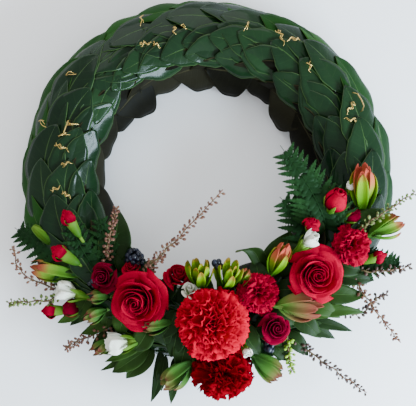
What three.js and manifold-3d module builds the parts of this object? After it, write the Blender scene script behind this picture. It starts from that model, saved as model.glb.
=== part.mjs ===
// A memorial wreath lying flat on its back: a foam ring in a plastic tray, overlapping rows of
// camellia leaves pinned round it, and a spray of flowers along its lower half.
// Millimetres, +Z up. The ring is built round its own centre and moved to the origin at the end.

import * as THREE from 'three';
import { mergeVertices } from 'three/addons/utils/BufferGeometryUtils.js';
import Module from 'manifold-3d';

const wasm = await Module();
wasm.setup();

// Driving dimensions
const ring = { meanRadius: 152, tubeRadius: 29, tubeHeight: 26, segments: 32 };
const tray = { halfWidth: 24, height: 12, sheet: 1.6 };
const clearance = 0.35;
const stemSides = 5;
const stemSteps = 2;
const leaf = { length: 80, width: 43, thickness: 1.3, lift: 2.2, rise: 0.15, stagger: 2.9 };
const rowPitch = 15;
const rightRows = { count: 9, firstTip: 124, tipSide: 1 };
const leftRows = { count: 5, firstTip: 125, tipSide: -1 };
const collarRows = { count: 2, pitch: 28 };
const leavesAcrossEven = [86, 30, -26, -84];
const leavesAcrossOdd = [100, 58, 2, -56];
const leavesAcrossCollar = [84, -84];

const colours = {
  foam: 0x2f5d38,
  tray: 0x16211a,
  leaf: 0x16401f,
  pin: 0xb08d3c,
  rose: 0x9c0713,
  carnation: 0xd3101a,
  darkCarnation: 0x9a0c14,
  white: 0xf1f2e6,
  bract: 0x7fa14a,
  greenBud: 0x8db07a,
  fern: 0x2c5a2e,
  berry: 0x10141f,
  sprig: 0x9a6a55,
};

const radians = THREE.MathUtils.degToRad;
const up = new THREE.Vector3(0, 0, 1);

function polar([angle, radius, height]) {
  const turn = radians(angle);
  return new THREE.Vector3(radius * Math.cos(turn), radius * Math.sin(turn), height);
}

// A direction that leans from straight up by tilt, towards azimuth
function facing([azimuth, tilt]) {
  const lean = radians(tilt);
  const turn = radians(azimuth);
  return new THREE.Vector3(Math.sin(lean) * Math.cos(turn), Math.sin(lean) * Math.sin(turn), Math.cos(lean));
}

// A point over the foam's round surface: turn round the ring, around the tube, and out from the foam
function overTube(turn, around, out) {
  const radius = ring.meanRadius + (ring.tubeRadius + out) * Math.sin(around);
  const height = ring.tubeHeight + (ring.tubeRadius + out) * Math.cos(around);
  return new THREE.Vector3(radius * Math.cos(turn), radius * Math.sin(turn), height);
}

function reshape(geometry, place) {
  const position = geometry.attributes.position;
  for (let i = 0; i < position.count; i += 1) {
    const point = place(position.getX(i), position.getY(i), position.getZ(i));
    position.setXYZ(i, point.x, point.y, point.z);
  }
  return geometry;
}

function signedVolume(positions, triangles) {
  const corner = [0, 1, 2].map(() => new THREE.Vector3());
  let volume = 0;
  for (let i = 0; i < triangles.length; i += 3) {
    corner.forEach((point, k) => point.fromArray(positions, triangles[i + k] * 3));
    volume += corner[0].dot(corner[1].clone().cross(corner[2])) / 6;
  }
  return volume;
}

function solidFrom(geometry) {
  const bare = geometry.clone();
  bare.deleteAttribute('normal');
  bare.deleteAttribute('uv');
  const merged = mergeVertices(bare, 1e-4);
  const positions = merged.attributes.position.array;
  const triangles = [];
  const index = merged.index.array;
  for (let i = 0; i < index.length; i += 3) {
    const [a, b, c] = [index[i], index[i + 1], index[i + 2]];
    if (a !== b && b !== c && a !== c) {
      triangles.push(a, b, c);
    }
  }
  if (signedVolume(positions, triangles) < 0) {
    triangles.reverse();
  }
  return new wasm.Manifold(new wasm.Mesh({
    numProp: 3,
    vertProperties: new Float32Array(positions),
    triVerts: new Uint32Array(triangles),
  }));
}

function join(geometries) {
  return geometries.map(solidFrom).reduce((whole, next) => whole.add(next));
}

function largestBody(solid) {
  const bodies = solid.decompose();
  return bodies.reduce((best, body) => (body.volume() > best.volume() ? body : best));
}

function boxesMeet(a, b) {
  const first = a.boundingBox();
  const second = b.boundingBox();
  return [0, 1, 2].every((k) => first.min[k] < second.max[k] && second.min[k] < first.max[k]);
}

function cutAway(solid, neighbours) {
  const near = neighbours.filter((other) => boxesMeet(solid, other));
  return near.length === 0 ? solid : largestBody(near.reduce((whole, other) => whole.subtract(other), solid));
}

function geometryFrom(solid) {
  const mesh = solid.getMesh();
  const geometry = new THREE.BufferGeometry();
  geometry.setAttribute('position', new THREE.BufferAttribute(new Float32Array(mesh.vertProperties), 3));
  geometry.setIndex(new THREE.BufferAttribute(new Uint32Array(mesh.triVerts), 1));
  geometry.computeVertexNormals();
  return geometry;
}

const wreath = new THREE.Group();

function addNode(name, solid, colour, roughness = 0.6, metalness = 0) {
  const material = new THREE.MeshStandardMaterial({ color: colour, roughness, metalness });
  const mesh = new THREE.Mesh(geometryFrom(solid), material);
  mesh.name = name;
  wreath.add(mesh);
}

// Basic forms. Each stands on the origin and runs up +Z until it is placed.
function turned(profile, segments) {
  const points = profile.map(([radius, height]) => new THREE.Vector2(radius, height));
  return new THREE.LatheGeometry(points, segments).rotateX(Math.PI / 2);
}

// A turned form whose flats lie outside the round profile, so that it encloses what was turned to it
function enclosing(profile, segments) {
  const widen = 1 / Math.cos(Math.PI / segments);
  return turned(profile.map(([radius, height]) => [radius * widen, height]), segments);
}

function tube(points, radius, sides = stemSides, steps = stemSteps) {
  const section = new THREE.Shape();
  for (let k = 0; k < sides; k += 1) {
    const turn = (k / sides) * Math.PI * 2;
    const corner = [radius * Math.cos(turn), radius * Math.sin(turn)];
    if (k === 0) {
      section.moveTo(...corner);
    } else {
      section.lineTo(...corner);
    }
  }
  const path = new THREE.CatmullRomCurve3(points);
  return new THREE.ExtrudeGeometry(section, { steps, extrudePath: path, bevelEnabled: false });
}

// A thin curved plate. place(along, across, side) gives its point, with along from 0 to 1,
// across from -1 to 1 and side from -0.5 to 0.5 through its thickness.
function plate(lengthSteps, widthSteps, place) {
  const block = new THREE.BoxGeometry(1, 1, 1, lengthSteps, widthSteps, 1);
  return reshape(block, (x, y, z) => place(x + 0.5, y * 2, z));
}

function leafWidth(along, width) {
  return 0.5 * width * Math.max(0.1, Math.sin(Math.PI * along ** 0.85) ** 0.8);
}

// A leaf that rises from the foam towards its tip, so that the next row fits under it
function ringLeaf({ baseTurn, tipSide, across, lift }) {
  return plate(3, 3, (along, side, depth) => {
    const out = lift + leaf.rise * along * leaf.length + depth * leaf.thickness;
    const turn = baseTurn + (tipSide * along * leaf.length) / ring.meanRadius;
    const around = across + (side * leafWidth(along, leaf.width)) / (ring.tubeRadius + out);
    return overTube(turn, around, out);
  });
}

// The twig that the leaves of one row grow from, across the foam
function rowTwig(baseTurn, lowest, highest) {
  const steps = 5;
  const halfWidth = 2.2 / ring.meanRadius;
  const middle = leaf.lift + 0.5 * leaf.stagger;
  return plate(steps, 1, (along, side, depth) => overTube(
    baseTurn + side * halfWidth,
    THREE.MathUtils.lerp(lowest, highest, along),
    middle + depth * (leaf.stagger + 0.6),
  ));
}

function leafRow({ tipAngle, tipSide, leavesAcross }) {
  const baseTurn = radians(tipAngle) - (tipSide * leaf.length) / ring.meanRadius;
  const leaves = leavesAcross.map((across, i) => ringLeaf({
    baseTurn,
    tipSide,
    across: radians(across),
    lift: leaf.lift + (i % 2) * leaf.stagger,
  }));
  const spread = leavesAcross.map(radians);
  return join([...leaves, rowTwig(baseTurn, Math.min(...spread) - 0.05, Math.max(...spread) + 0.05)]);
}

// Flower heads. Each returns the pieces of the head, and one plain form that encloses it.
// A crown is one closed turned form whose outline zigzags between petal rims and the valleys
// behind them. shift(k, wave) moves point k of the outline at each turn round the head.
function crown(outline, segments, shift) {
  const points = outline.map(([radius, height]) => new THREE.Vector2(radius, height));
  const form = new THREE.LatheGeometry(points, segments);
  const position = form.attributes.position;
  for (let i = 0; i < position.count; i += 1) {
    const k = i % outline.length;
    const column = Math.floor(i / outline.length) % segments;
    const turn = (column / segments) * Math.PI * 2;
    const [radius, height] = shift(k, column, turn, outline[k]);
    position.setXYZ(i, radius * Math.cos(turn), radius * Math.sin(turn), height);
  }
  return form;
}

// Petal rims scalloped into 5, 4 and 3 petals from the outside in
function roseHead(size, openness = 1) {
  const segments = size > 20 ? 16 : 10;
  const outline = [[0, -0.1], [0.3, 0], [0.86, 0.26], [0.97, 0.44], [0.9, 0.46], [0.55, 0.3], [0.66, 0.66],
    [0.58, 0.7], [0.34, 0.48], [0.4, 0.84], [0.32, 0.88], [0.18, 0.66], [0.13, 0.92], [0, 0.94]];
  const petals = [0, 0, 5, 5, 5, 0, 4, 4, 0, 3, 3, 0, 0, 0];
  const head = crown(outline, segments, (k, column, turn, [radius, height]) => {
    const scallop = petals[k] > 0 ? Math.abs(Math.sin(0.5 * petals[k] * turn + k)) : 1;
    const reach = radius * size * openness * (0.84 + 0.16 * scallop);
    return [reach, size * (height - (petals[k] > 0 ? 0.1 * (1 - scallop) : 0))];
  });
  const reach = size * openness;
  const cover = enclosing([[0, -0.14 * size], [0.34 * size, -0.04 * size], [reach, 0.28 * size],
    [reach, 0.56 * size], [0.72 * reach, 0.76 * size], [0.46 * reach, 0.96 * size], [0, 1.02 * size]], 8);
  return { pieces: [head], cover };
}

// Rims crumpled up and down on alternate columns
function carnationHead(size) {
  const outline = [[0, -0.75], [0.2, -0.72], [0.24, -0.35], [0.62, -0.12], [1, 0.06], [0.84, 0.3], [0.6, 0.42],
    [0.3, 0.5], [0, 0.48]];
  const ruffle = [0, 0, 0, 0.05, 0.1, 0.11, 0.11, 0.09, 0];
  const head = crown(outline, 18, (k, column, turn, [radius, height]) => {
    const frill = ruffle[k] * size * ((column + k) % 2 === 0 ? 1 : -1);
    return [radius * size + 0.4 * frill, height * size + (k > 3 ? frill : 0)];
  });
  const cover = enclosing([[0, -0.78 * size], [0.24 * size, -0.75 * size], [0.3 * size, -0.36 * size],
    [1.07 * size, -0.16 * size], [1.07 * size, 0.24 * size], [0.74 * size, 0.6 * size], [0, 0.68 * size]], 8);
  return { pieces: [head], cover };
}

// A closed or half-open bud: a round cup of sepals with the petals standing out of it
function budHead(size, length = 3) {
  const outline = [[0, -0.2], [0.3, -0.16], [0.62, 0.2], [0.66, 0.9], [0.78, 1.1], [1, 1.6], [0.92, 2.2],
    [0.55, 2.75], [0, 3]];
  const fit = ([radius, height], extra) => [radius * size + (radius > 0 ? extra : 0), (height * size * length) / 3];
  const head = turned(outline.map((point) => fit(point, 0)), 7);
  const cover = enclosing([[0, -0.26], ...outline.slice(1, -1), [0, 3.08]].map((point) => fit(point, 0.7)), 7);
  return { pieces: [head], cover };
}

// Two whorls of pointed bracts round a core: every second column is a bract's tip
function bractHead(size, length) {
  const outline = [[0, -0.04], [0.24, 0], [0.66, 0.25], [1, 0.72], [0.8, 0.66], [0.36, 0.4], [0.5, 0.72],
    [0.5, 1], [0.3, 0.82], [0, 0.78]];
  const drop = [0, 0, 0.04, 0.3, 0.28, 0, 0.16, 0.3, 0.1, 0];
  const pinch = [1, 1, 0.8, 0.66, 0.7, 1, 0.86, 0.74, 0.9, 1];
  const head = crown(outline, 10, (k, column, turn, [radius, height]) => {
    const between = (column + (k > 5 ? 1 : 0)) % 2 === 1;
    return [radius * size * (between ? pinch[k] : 1), length * (height - (between ? drop[k] : 0))];
  });
  const cover = enclosing([[0, -0.08 * length], [0.3 * size, -0.04 * length], [1.1 * size, 0.4 * length],
    [1.1 * size, 0.8 * length], [0.6 * size, 1.02 * length], [0, 1.04 * length]], 8);
  return { pieces: [head], cover };
}

function berryHead(size, count) {
  const golden = Math.PI * (3 - Math.sqrt(5));
  const berries = Array.from({ length: count }, (_, i) => {
    const height = (size * 1.5 * i) / count;
    const radius = 0.36 * size * Math.cos((1.2 * i) / count);
    return new THREE.IcosahedronGeometry(0.4 * size, 0)
      .translate(radius * Math.cos(i * golden), radius * Math.sin(i * golden), height);
  });
  const cover = enclosing([[0, -0.46 * size], [0.7 * size, -0.3 * size], [0.82 * size, 0.6 * size],
    [0.5 * size, 1.6 * size], [0, 1.8 * size]], 8);
  return { pieces: berries, cover };
}

const heads = {
  rose: (spec) => roseHead(spec.size, spec.openness),
  carnation: (spec) => carnationHead(spec.size),
  bud: (spec) => budHead(spec.size, spec.length),
  bract: (spec) => bractHead(spec.size, spec.length),
  berries: (spec) => berryHead(spec.size, spec.count),
};

// A head on its stem: the stem runs from its foot in the foam and bends to meet the head squarely
function flower(spec) {
  const direction = facing(spec.face);
  const neck = polar(spec.head);
  const foot = polar(spec.foot);
  const bend = neck.clone().addScaledVector(direction, -0.35 * neck.distanceTo(foot));
  const route = [foot, foot.clone().lerp(bend, 0.6), neck.clone().addScaledVector(direction, 0.5)];
  const turn = new THREE.Quaternion().setFromUnitVectors(up, direction);
  const place = new THREE.Matrix4().compose(neck, turn, new THREE.Vector3(1, 1, 1));
  const { pieces, cover } = heads[spec.kind](spec);
  const placed = pieces.map((piece) => piece.applyMatrix4(place));
  const stem = spec.stem ?? 1.8;
  return {
    solid: join([tube(route, stem), ...placed]),
    cover: join([tube(route, 1.3 * (stem + clearance), 4), cover.applyMatrix4(place)]),
  };
}

// A thin stem with small round buds along it, set on alternate sides
function sprig({ route, buds, budSize, bare = 0.25 }) {
  const points = route.map(polar);
  const path = new THREE.CatmullRomCurve3(points);
  const build = (extra) => {
    const pieces = [tube(points, 0.9 + extra, 4, 3 * (points.length - 1))];
    for (let i = 0; i < buds; i += 1) {
      const along = bare + ((1 - bare) * (i + 1)) / buds;
      const at = path.getPoint(along);
      const heading = path.getTangent(along);
      const aside = heading.clone().cross(up).normalize().multiplyScalar(i % 2 === 0 ? 1 : -1);
      const size = budSize * (1.15 - 0.4 * along);
      at.addScaledVector(aside, 0.75 * size).addScaledVector(up, 0.3 * size);
      pieces.push(new THREE.OctahedronGeometry(size + extra * 1.5, 0).translate(...at.toArray()));
    }
    return join(pieces);
  };
  return { solid: build(0), cover: build(clearance) };
}

// A fern frond: one thin blade, notched into pointed leaflets that sweep forwards and shorten
function frond({ route, pairs, leafletLength }) {
  const path = new THREE.CatmullRomCurve3(route.map(polar));
  const foot = path.getPoint(0);
  const thickness = 1.3;
  const bare = 0.24;
  const blade = (extra) => plate(2 * pairs + 1, 2, (u, v, w) => {
    const notch = Math.round(u * (2 * pairs + 1)) % 2 === 0;
    const along = bare + (1 - bare) * u;
    const reach = notch ? 2.6 : leafletLength * (1.05 - 0.8 * u);
    const at = path.getPoint(along);
    const heading = path.getTangent(along);
    const aside = heading.clone().cross(up).normalize();
    return at.addScaledVector(aside, v * (0.85 * reach + 2 * extra))
      .addScaledVector(heading, (notch ? 0 : 0.5 * reach * Math.abs(v)) + 4 * extra * (u - 0.5))
      .addScaledVector(up, w * (thickness + 2 * extra) - 0.08 * reach * Math.abs(v));
  });
  const stalk = (extra) => tube([foot, path.getPoint(0.5 * bare), path.getPoint(bare + 0.06)], 1.2 + extra, 4);
  return { solid: join([blade(0), stalk(0)]), cover: join([blade(clearance), stalk(clearance)]) };
}

// Long leaves fanned from one stem
function leafFan({ foot, leaves, width }) {
  const root = polar(foot);
  const build = (extra) => join(leaves.flatMap(({ base, tip }) => {
    const start = polar(base);
    const end = polar(tip);
    const along = end.clone().sub(start);
    const across = along.clone().cross(up).normalize();
    const blade = plate(4, 1, (u, v, w) => start.clone()
      .addScaledVector(along, u)
      .addScaledVector(across, v * (leafWidth(u, width) + extra))
      .addScaledVector(up, w * (leaf.thickness + 2 * extra) + 5 * Math.sin(Math.PI * u)));
    return [blade, tube([root, start.clone().addScaledVector(along, 0.1)], 1.4 + extra, stemSides, 2)];
  }));
  return { solid: build(0), cover: build(clearance) };
}

// The spray, from the pieces that stand in front to those that fill behind.
// Every place is [angle round the ring, distance from its centre, height].
const spray = [
  { name: 'rose_left', kind: 'rose', size: 31, head: [242, 140, 64], face: [225, 20], foot: [243, 134, 38] },
  { name: 'rose_right', kind: 'rose', size: 31, head: [318, 148, 64], face: [330, 10], foot: [318, 146, 38] },
  { name: 'carnation_front', kind: 'carnation', size: 36, head: [272, 150, 82], face: [270, 8], foot: [271, 150, 38] },
  { name: 'carnation_low', kind: 'carnation', size: 33, head: [275, 207, 48], face: [275, 62], foot: [274, 166, 34] },
  { name: 'carnation_right', kind: 'carnation', size: 22, head: [294, 130, 72], face: [60, 14], foot: [294, 138, 40] },
  { name: 'carnation_far', kind: 'carnation', size: 22, head: [335, 164, 70], face: [10, 18], foot: [335, 158, 40] },
  { name: 'spray_rose_left', kind: 'rose', size: 16, head: [225, 145, 62], face: [180, 20], foot: [226, 143, 40] },
  { name: 'spray_rose_inner', kind: 'rose', size: 12, head: [231, 121, 60], face: [110, 25], foot: [231, 133, 40],
    openness: 0.8 },
  { name: 'spray_rose_back', kind: 'rose', size: 15, head: [254, 112, 58], face: [75, 40], foot: [254, 134, 38],
    openness: 0.9 },
  { name: 'spray_rose_right', kind: 'rose', size: 17, head: [294, 168, 62], face: [345, 18], foot: [294, 162, 40] },
  { name: 'rosebud_upper', kind: 'bud', size: 11, length: 2.6, head: [346, 136, 68], face: [60, 50],
    foot: [341, 142, 42] },
  { name: 'lisianthus_bloom', kind: 'rose', size: 12, head: [262, 119, 68], face: [90, 30], foot: [262, 138, 40],
    openness: 0.85, colour: colours.white },
  { name: 'carnation_bud_inner', kind: 'bud', size: 9, length: 2.6, head: [331, 122, 70], face: [85, 45],
    foot: [331, 137, 42] },
  { name: 'lisianthus_bud_right', kind: 'bud', size: 8, length: 3.6, head: [321, 119, 76], face: [39, 62],
    foot: [318, 122, 50], colour: colours.white },
  { name: 'lisianthus_bud_left', kind: 'bud', size: 11, length: 3.2, head: [225, 173, 52], face: [166, 86],
    foot: [230, 160, 40], colour: colours.white },
  { name: 'lisianthus_bud_low', kind: 'bud', size: 12, length: 3.2, head: [248, 180, 52], face: [186, 84],
    foot: [251, 166, 40], colour: colours.white },
  { name: 'carnation_bud_left', kind: 'bud', size: 8, length: 4.2, head: [202, 143, 66], face: [121, 68],
    foot: [211, 142, 44] },
  { name: 'carnation_bud_side', kind: 'bud', size: 9, length: 3.8, head: [215, 158, 60], face: [149, 80],
    foot: [219, 158, 42] },
  { name: 'carnation_bud_low', kind: 'bud', size: 8, length: 4, head: [224, 196, 45], face: [182, 86],
    foot: [230, 166, 38] },
  { name: 'green_bud_left', kind: 'bud', size: 7, length: 4, head: [203, 172, 54], face: [140, 82],
    foot: [208, 160, 42], colour: colours.greenBud },
  { name: 'leucadendron_upper_right', kind: 'bract', size: 14, length: 58, head: [347, 166, 62], face: [92, 62],
    foot: [343, 160, 40] },
  { name: 'leucadendron_inner_right', kind: 'bract', size: 13, length: 46, head: [303, 121, 64], face: [65, 56],
    foot: [300, 132, 40] },
  { name: 'leucadendron_inner', kind: 'bract', size: 12, length: 40, head: [267, 116, 62], face: [91, 58],
    foot: [267, 132, 40] },
  { name: 'leucadendron_inner_2', kind: 'bract', size: 12, length: 40, head: [279, 117, 64], face: [80, 54],
    foot: [279, 133, 40] },
  { name: 'leucadendron_left', kind: 'bract', size: 12, length: 62, head: [219, 162, 53], face: [170, 92],
    foot: [222, 158, 38] },
  { name: 'leucadendron_low', kind: 'bract', size: 12, length: 44, head: [266, 189, 54], face: [220, 100],
    foot: [266, 166, 40] },
  { name: 'leucadendron_low_right', kind: 'bract', size: 12, length: 44, head: [284, 186, 54], face: [322, 98],
    foot: [285, 166, 40] },
  { name: 'leucadendron_right', kind: 'bract', size: 11, length: 46, head: [303, 146, 60], face: [346, 88],
    foot: [301, 146, 40] },
  { name: 'berry_cluster', kind: 'berries', size: 12, count: 6, head: [228, 112, 54], face: [90, 20],
    foot: [232, 130, 44], stem: 1.4 },
];

const sprigs = [
  { name: 'sprig_inner', buds: 10, budSize: 3.8, route: [[241, 134, 42], [238, 109, 74], [246, 70, 98],
    [315, 23, 110]] },
  { name: 'sprig_left', buds: 7, budSize: 3.6, route: [[224, 164, 42], [216, 193, 50], [207, 214, 54],
    [199, 212, 60]] },
  { name: 'sprig_right_upper', buds: 7, budSize: 3.6, route: [[338, 166, 42], [343, 184, 66], [349, 195, 78],
    [356, 214, 84]] },
  { name: 'sprig_right_middle', buds: 7, budSize: 3.6, route: [[325, 168, 40], [325, 190, 52], [322, 226, 48],
    [320, 266, 36]] },
  { name: 'sprig_right_low', buds: 8, budSize: 3.4, route: [[298, 168, 38], [300, 200, 46], [304, 240, 42],
    [307, 278, 34]] },
];

const fronds = [
  { name: 'fern_left', pairs: 6, leafletLength: 34, route: [[214, 148, 44], [208, 168, 58],
    [200, 190, 52], [194, 207, 42]] },
  { name: 'fern_right', pairs: 7, leafletLength: 44, route: [[333, 140, 44], [341, 128, 70],
    [357, 102, 82], [23, 82, 84]] },
];

const lowLeaves = {
  name: 'spray_leaves_low',
  foot: [256, 166, 36],
  width: 17,
  leaves: [
    { base: [250, 180, 38], tip: [243, 220, 26] },
    { base: [257, 184, 36], tip: [255, 240, 24] },
    { base: [262, 186, 34], tip: [261, 238, 22] },
  ],
};

const pins = [
  { name: 'greening_pin_left', turn: 160, around: 2, length: 16 },
  { name: 'greening_pin_right', turn: 27, around: 36, length: 18 },
];

// A wire staple: its crown lies over the leaves and both legs run down into the foam
function greeningPin({ turn, around, length }) {
  const crown = leaf.lift + leaf.rise * leaf.length + 4;
  const wire = 0.7;
  const halfTurn = length / 2 / ring.meanRadius;
  const along = (side, out) => overTube(radians(turn) + side * halfTurn, radians(around), out);
  const build = (extra) => tube(
    [along(-1, -14), along(-1, crown * 0.5), along(-0.9, crown), along(0.9, crown), along(1, crown * 0.5),
      along(1, -14)],
    wire + extra,
    4,
    12,
  );
  return { solid: solidFrom(build(0)), cover: solidFrom(build(clearance)) };
}

function colourOf(spec) {
  const byKind = { rose: colours.rose, carnation: colours.carnation, bract: colours.bract, berries: colours.berry };
  return spec.colour ?? byKind[spec.kind] ?? colours.rose;
}

// Build the spray from front to back, each piece cut clear of those already in place
const covers = [];

function addPiece(name, { solid, cover }, colour, roughness) {
  addNode(name, cutAway(solid, covers), colour, roughness);
  covers.push(cover);
}

spray.forEach((spec) => addPiece(spec.name, flower(spec), colourOf(spec)));
sprigs.forEach((spec) => addPiece(spec.name, sprig(spec), colours.sprig));
fronds.forEach((spec) => addPiece(spec.name, frond(spec), colours.fern));
addPiece(lowLeaves.name, leafFan(lowLeaves), colours.leaf);
pins.forEach((spec) => {
  const { solid, cover } = greeningPin(spec);
  addNode(spec.name, solid, colours.pin, 0.35, 0.9);
  covers.push(cover);
});

// Rows of leaves. The two runs meet tip to tip at the upper left.
function addRows(label, { count, firstTip, tipSide }) {
  for (let row = 0; row < count; row += 1) {
    const solid = leafRow({
      tipAngle: firstTip - tipSide * row * rowPitch,
      tipSide,
      leavesAcross: row % 2 === 0 ? leavesAcrossEven : leavesAcrossOdd,
    });
    addNode(`leaf_row_${label}_${String(row + 1).padStart(2, '0')}`, cutAway(solid, covers), colours.leaf, 0.4);
  }
}

function addCollars(label, { firstTip, tipSide, count }) {
  for (let row = 0; row < collarRows.count; row += 1) {
    const tipAngle = firstTip - tipSide * (count * rowPitch + row * collarRows.pitch);
    const solid = leafRow({ tipAngle, tipSide, leavesAcross: leavesAcrossCollar });
    addNode(`leaf_collar_${label}_${row + 1}`, cutAway(solid, covers), colours.leaf, 0.4);
  }
}

addRows('right', rightRows);
addRows('left', leftRows);
addCollars('right', rightRows);
addCollars('left', leftRows);

// The foam: flat underneath, square sides inside the tray, and a round back above its rim
function foamRing() {
  const inside = tray.halfWidth - tray.sheet - clearance;
  const floorHeight = tray.sheet + clearance;
  const shoulder = tray.height + clearance;
  const startTurn = Math.acos((shoulder - ring.tubeHeight) / ring.tubeRadius);
  const arc = [];
  const arcSteps = 7;
  for (let k = 0; k <= arcSteps; k += 1) {
    const around = startTurn - (2 * startTurn * k) / arcSteps;
    arc.push([ring.meanRadius + ring.tubeRadius * Math.sin(around),
      ring.tubeHeight + ring.tubeRadius * Math.cos(around)]);
  }
  const outline = [
    [ring.meanRadius - inside, floorHeight],
    [ring.meanRadius + inside, floorHeight],
    [ring.meanRadius + inside, shoulder],
    ...arc,
    [ring.meanRadius - inside, shoulder],
  ];
  return solidFrom(turned([...outline, outline[0]], ring.segments));
}

function trayRing() {
  const { halfWidth, height, sheet } = tray;
  const radius = ring.meanRadius;
  const outline = [
    [radius - halfWidth, 0],
    [radius + halfWidth, 0],
    [radius + halfWidth, height],
    [radius + halfWidth - sheet, height],
    [radius + halfWidth - sheet, sheet],
    [radius - halfWidth + sheet, sheet],
    [radius - halfWidth + sheet, height],
    [radius - halfWidth, height],
  ];
  return solidFrom(turned([...outline, outline[0]], ring.segments));
}

addNode('foam_ring', cutAway(foamRing(), covers), colours.foam, 0.95);
addNode('base_tray', trayRing(), colours.tray, 0.45);

// Put the origin under the middle of the whole wreath
const box = new THREE.Box3().setFromObject(wreath);
const centre = box.getCenter(new THREE.Vector3());
wreath.position.set(-centre.x, -centre.y, -box.min.z);

export default wreath;
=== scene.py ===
import math

import bpy
import numpy as np
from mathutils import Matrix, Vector


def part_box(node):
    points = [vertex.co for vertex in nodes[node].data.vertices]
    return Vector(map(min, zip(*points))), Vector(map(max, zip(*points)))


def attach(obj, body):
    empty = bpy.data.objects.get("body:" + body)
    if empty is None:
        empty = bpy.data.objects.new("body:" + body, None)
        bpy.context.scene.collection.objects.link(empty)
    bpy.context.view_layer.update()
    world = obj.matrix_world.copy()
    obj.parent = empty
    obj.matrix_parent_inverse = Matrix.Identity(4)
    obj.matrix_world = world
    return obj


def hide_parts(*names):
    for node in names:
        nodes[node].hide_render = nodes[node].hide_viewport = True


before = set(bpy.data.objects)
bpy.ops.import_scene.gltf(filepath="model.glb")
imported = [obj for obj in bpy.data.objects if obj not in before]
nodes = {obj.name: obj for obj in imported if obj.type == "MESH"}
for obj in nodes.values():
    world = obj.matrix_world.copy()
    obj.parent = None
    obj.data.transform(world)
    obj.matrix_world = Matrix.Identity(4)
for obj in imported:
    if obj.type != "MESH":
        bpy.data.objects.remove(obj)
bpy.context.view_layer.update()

# The ring, read from the foam that everything is pinned to. Lengths below are in millimetres
# about the ring's centre, and angles in degrees: 0 to the right, 90 to the top of the ring.
foamLow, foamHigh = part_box("foam_ring")
metre = 0.001
tubeRadius = 29.0
ring = {
    "centre": ((foamLow.x + foamHigh.x) / 2, (foamLow.y + foamHigh.y) / 2),
    "tubeRadius": tubeRadius,
    "meanRadius": (foamHigh.x - foamLow.x) / 2 / metre - tubeRadius,
    "tubeHeight": foamHigh.z / metre - tubeRadius,
}
fullTurn = 2 * math.pi
goldenTurn = math.pi * (3 - math.sqrt(5))
up = np.array([0, 0, 1.0])
tiny = 1e-12


def polar(angle, radius, height):
    turn = math.radians(angle)
    return np.array([radius * math.cos(turn), radius * math.sin(turn), height])


def facing(azimuth, tilt):
    turn, lean = math.radians(azimuth), math.radians(tilt)
    return np.array([math.sin(lean) * math.cos(turn), math.sin(lean) * math.sin(turn), math.cos(lean)])


def wrapped(radius, turn, height):  # points at a radius and a turn about the upright axis
    return np.stack([radius * np.cos(turn), radius * np.sin(turn), height], axis=-1)


def overTube(turn, around, out):  # round the ring, around the tube, and out from the foam
    radius = ring["meanRadius"] + (ring["tubeRadius"] + out) * np.sin(around)
    height = ring["tubeHeight"] + (ring["tubeRadius"] + out) * np.cos(around)
    return wrapped(radius, turn, height)


def smooth(low, high, value):
    t = np.clip((value - low) / (high - low), 0, 1)
    return t * t * (3 - 2 * t)


def blendTo(a, b, t):
    return a + (b - a) * t


def unit(vector):
    return vector / np.linalg.norm(vector)


def aimed(points, origin, direction, roll=0.0):  # turns a form that stands up +Z to face direction
    direction = unit(direction)
    side = np.cross([0.0, 1.0, 0.0], direction)
    if np.linalg.norm(side) < 1e-3:
        side = np.array([1.0, 0.0, 0.0])
    side = unit(side)
    other = np.cross(direction, side)
    c, s = math.cos(roll), math.sin(roll)
    first, second = c * side + s * other, c * other - s * side
    return origin + points[..., :1] * first + points[..., 1:2] * second + points[..., 2:3] * direction


def spline(points, count):  # a smooth run of points through those given
    points = np.array(points, float)
    ends = np.vstack([2 * points[0] - points[1], points, 2 * points[-1] - points[-2]])
    spans = len(points) - 1
    run = []
    for t in np.linspace(0, spans, count):
        k = min(int(t), spans - 1)
        f = t - k
        a, b, c, d = ends[k:k + 4]
        run.append(0.5 * (2 * b + (c - a) * f + (2 * a - 5 * b + 4 * c - d) * f * f
                          + (3 * b - a - 3 * c + d) * f ** 3))
    return np.array(run)


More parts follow.
